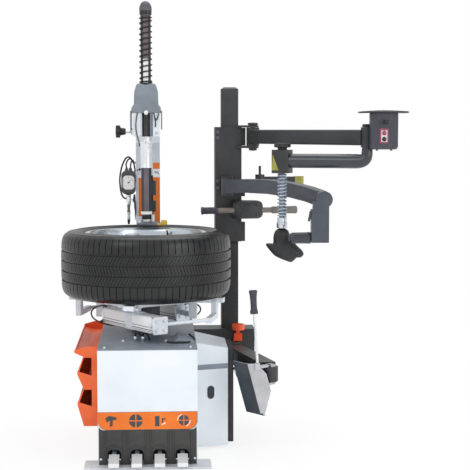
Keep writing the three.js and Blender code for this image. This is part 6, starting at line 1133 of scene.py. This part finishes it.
def stage():
    """Camera at the photograph's place, soft lamps, and a pale floor that keeps only the shadow."""
    settings = bpy.context.scene.tire_changer
    scene = bpy.context.scene
    scene.view_settings.view_transform = "Standard"
    camera = bpy.data.objects.new("camera", bpy.data.cameras.new("camera"))
    scene.collection.objects.link(camera)
    focal, width, sensor = 1300, 470, 36.0  # focal length and picture width in pixels, sensor in millimetres
    pitch, yaw = math.atan(105 / focal), math.atan(75 / focal)
    camera.location = (0.063, -5.8, 1.391)
    camera.rotation_euler = (math.pi / 2 - pitch, 0, -yaw)
    camera.data.sensor_width = sensor
    camera.data.lens = focal / width * sensor
    camera.data.clip_end = 100.0
    scene.camera = camera
    for name, spot, size, power in (("key_lamp", (-2.6, -4.2, 4.2), 2.6, 1.0),
                                    ("fill_lamp", (3.8, -4.0, 2.2), 3.0, 1.3),
                                    ("top_lamp", (0.4, 1.2, 4.6), 3.0, 1.2)):
        lamp = bpy.data.lights.new(name, "AREA")
        lamp.size = size
        lamp.energy = settings.lamp_power * power
        holder = bpy.data.objects.new(name, lamp)
        scene.collection.objects.link(holder)
        holder.location = spot
        toward = np.array([0.2, 0, 0.9]) - np.array(spot)
        holder.rotation_euler = (math.pi - math.acos(toward[2] / np.linalg.norm(toward)), 0,
                                 math.atan2(toward[1], toward[0]) - math.pi / 2)
    world = bpy.data.worlds.new("soft_room")
    scene.world = world
    tree = emptied(world)
    path = add(tree, "LightPath").outputs
    seen = add(tree, "Math", {0: path["Is Camera Ray"], 1: path["Is Transmission Ray"]}, operation="MAXIMUM").outputs[0]
    plain, bright, gloss = (add(tree, "Background", {"Color": WHITE, "Strength": level}).outputs[0]
                            for level in (settings.room_light, 1.0, 0.8))
    mixed = add(tree, "MixShader", {0: path["Is Glossy Ray"], 1: plain, 2: gloss}).outputs[0]
    mixed = add(tree, "MixShader", {0: seen, 1: mixed, 2: bright}).outputs[0]
    add(tree, "OutputWorld", {"Surface": mixed})
    floor_mesh = bpy.data.meshes.new("floor")
    reach, drop = 30.0, -0.0008
    floor_mesh.from_pydata([(*corner, drop) for corner in rectangle(-reach, reach, -reach, reach)], [], [(0, 1, 2, 3)])
    floor = bpy.data.objects.new("floor", floor_mesh)
    scene.collection.objects.link(floor)
    paper = bpy.data.materials.new("pale_floor")
    tree = emptied(paper)
    path = add(tree, "LightPath").outputs
    seen = add(tree, "Math", {0: path["Is Camera Ray"], 1: path["Is Glossy Ray"]}, operation="MAXIMUM").outputs[0]
    seen = add(tree, "Math", {0: seen, 1: path["Is Transmission Ray"]}, operation="MAXIMUM").outputs[0]
    away = add(tree, "VectorMath", {0: add(tree, "TexCoord").outputs["Object"]}, operation="LENGTH").outputs["Value"]
    matt = add(tree, "BsdfDiffuse", {"Color": (0.98, 0.98, 0.98, 1)}).outputs[0]
    white = add(tree, "Emission", {"Color": WHITE, "Strength": 1.0}).outputs[0]
    fade = add(tree, "MapRange", {"Value": away, "From Min": 0.9, "From Max": 2.4, "To Min": 0.8,
                                  "To Max": 1.0}).outputs[0]
    share = add(tree, "Math", {0: seen, 1: fade}, operation="MULTIPLY").outputs[0]
    both = add(tree, "MixShader", {0: share, 1: matt, 2: white}).outputs[0]
    add(tree, "OutputMaterial", {"Surface": both})
    floor_mesh.materials.append(paper)


# ---------------------------------------------------------------- add-on

def tint_setting(label, text):
    """A colour that multiplies a finish's two shades; white leaves them as they are."""
    return FloatVectorProperty(name=label, description=text, default=(1.0, 1.0, 1.0), min=0.0, max=1.0, size=3,
                               subtype="COLOR")


class TireChangerSettings(bpy.types.PropertyGroup):
    """Sizes, colours and levels that a user would change."""
    tread_blocks: IntProperty(name="Tread blocks", description="Blocks round each shoulder of the tyre", default=78,
                              min=30, max=110)
    tread_depth: FloatProperty(name="Tread depth", description="Depth of the shoulder's slots in millimetres",
                               default=5.0, min=0.0, max=8.0)
    body_tint: tint_setting("Body tint", "Colour laid over the white coat of cabinet, column, arm and turntable")
    trim_tint: tint_setting("Trim tint", "Colour laid over the orange of front strip, column panels and tray")
    tower_tint: tint_setting("Tower tint", "Colour laid over the dark coat of help tower and bead-breaker arm")
    lamp_power: FloatProperty(name="Lamp power", description="Power of the main lamp", default=45.0, min=0.0,
                              unit="POWER")
    room_light: FloatProperty(name="Room light", description="Level of the soft light from all round", default=0.83,
                              min=0.0)


def operator(idname, label, text, *builders):
    """An operator class that runs the builders in order."""
    def execute(self, context):
        for build in builders:
            build()
        return {"FINISHED"}
    return type("TIRECHANGER_OT_" + idname, (bpy.types.Operator,),
                {"bl_idname": "tire_changer." + idname, "bl_label": label, "__doc__": text, "execute": execute})


OPERATORS = [
    operator("stage", "Stage", "Sets up the camera, lamps and floor", stage),
    operator("inflation", "Inflation set", "Builds gauge, gun, trigger and hose", inflation_set),
    operator("wheel", "Wheel", "Builds the tyre and its alloy wheel", tyre, wheel_rim),
    operator("turntable", "Turntable", "Builds plate, jaws and clamp cylinders", turntable),
    operator("cabinet", "Cabinet", "Builds body, top, strip and apron", cabinet, pedals),
    operator("sides", "Side pieces", "Builds wing, pad, tray and bucket holder", side_pieces),
    operator("drive", "Drive", "Dresses the drive in the cabinet", drive),
    operator("column", "Column", "Builds column, arm, knob and shaft", column, arm, star_knob, shaft),
    operator("tower", "Help tower", "Builds post, carriage and arms", tower, arms, control_box),
    operator("press", "Press set", "Builds spindle, block, roller and push bar", press_set, roller_and_handle),
    operator("breaker", "Bead breaker", "Builds arm, rod, blade and grip", bead_breaker),
]


class TIRECHANGER_PT_panel(bpy.types.Panel):
    """Lists the pieces in the sidebar."""
    bl_label = "Tire changer"
    bl_space_type = "VIEW_3D"
    bl_region_type = "UI"
    bl_category = "Tire changer"

    def draw(self, context):
        for name in TireChangerSettings.__annotations__:
            self.layout.prop(context.scene.tire_changer, name)
        for kind in OPERATORS:
            self.layout.operator(kind.bl_idname)


CLASSES = [TireChangerSettings, *OPERATORS, TIRECHANGER_PT_panel]


def register():
    for kind in CLASSES:
        bpy.utils.register_class(kind)
    bpy.types.Scene.tire_changer = PointerProperty(type=TireChangerSettings)


def unregister():
    del bpy.types.Scene.tire_changer
    for kind in reversed(CLASSES):
        bpy.utils.unregister_class(kind)


def main():
    """Builds everything and keeps both boxes for the size rule."""
    register()
    for kind in OPERATORS:
        getattr(bpy.ops.tire_changer, kind.bl_idname.split(".")[1])()


if __name__ == "__main__":
    main()
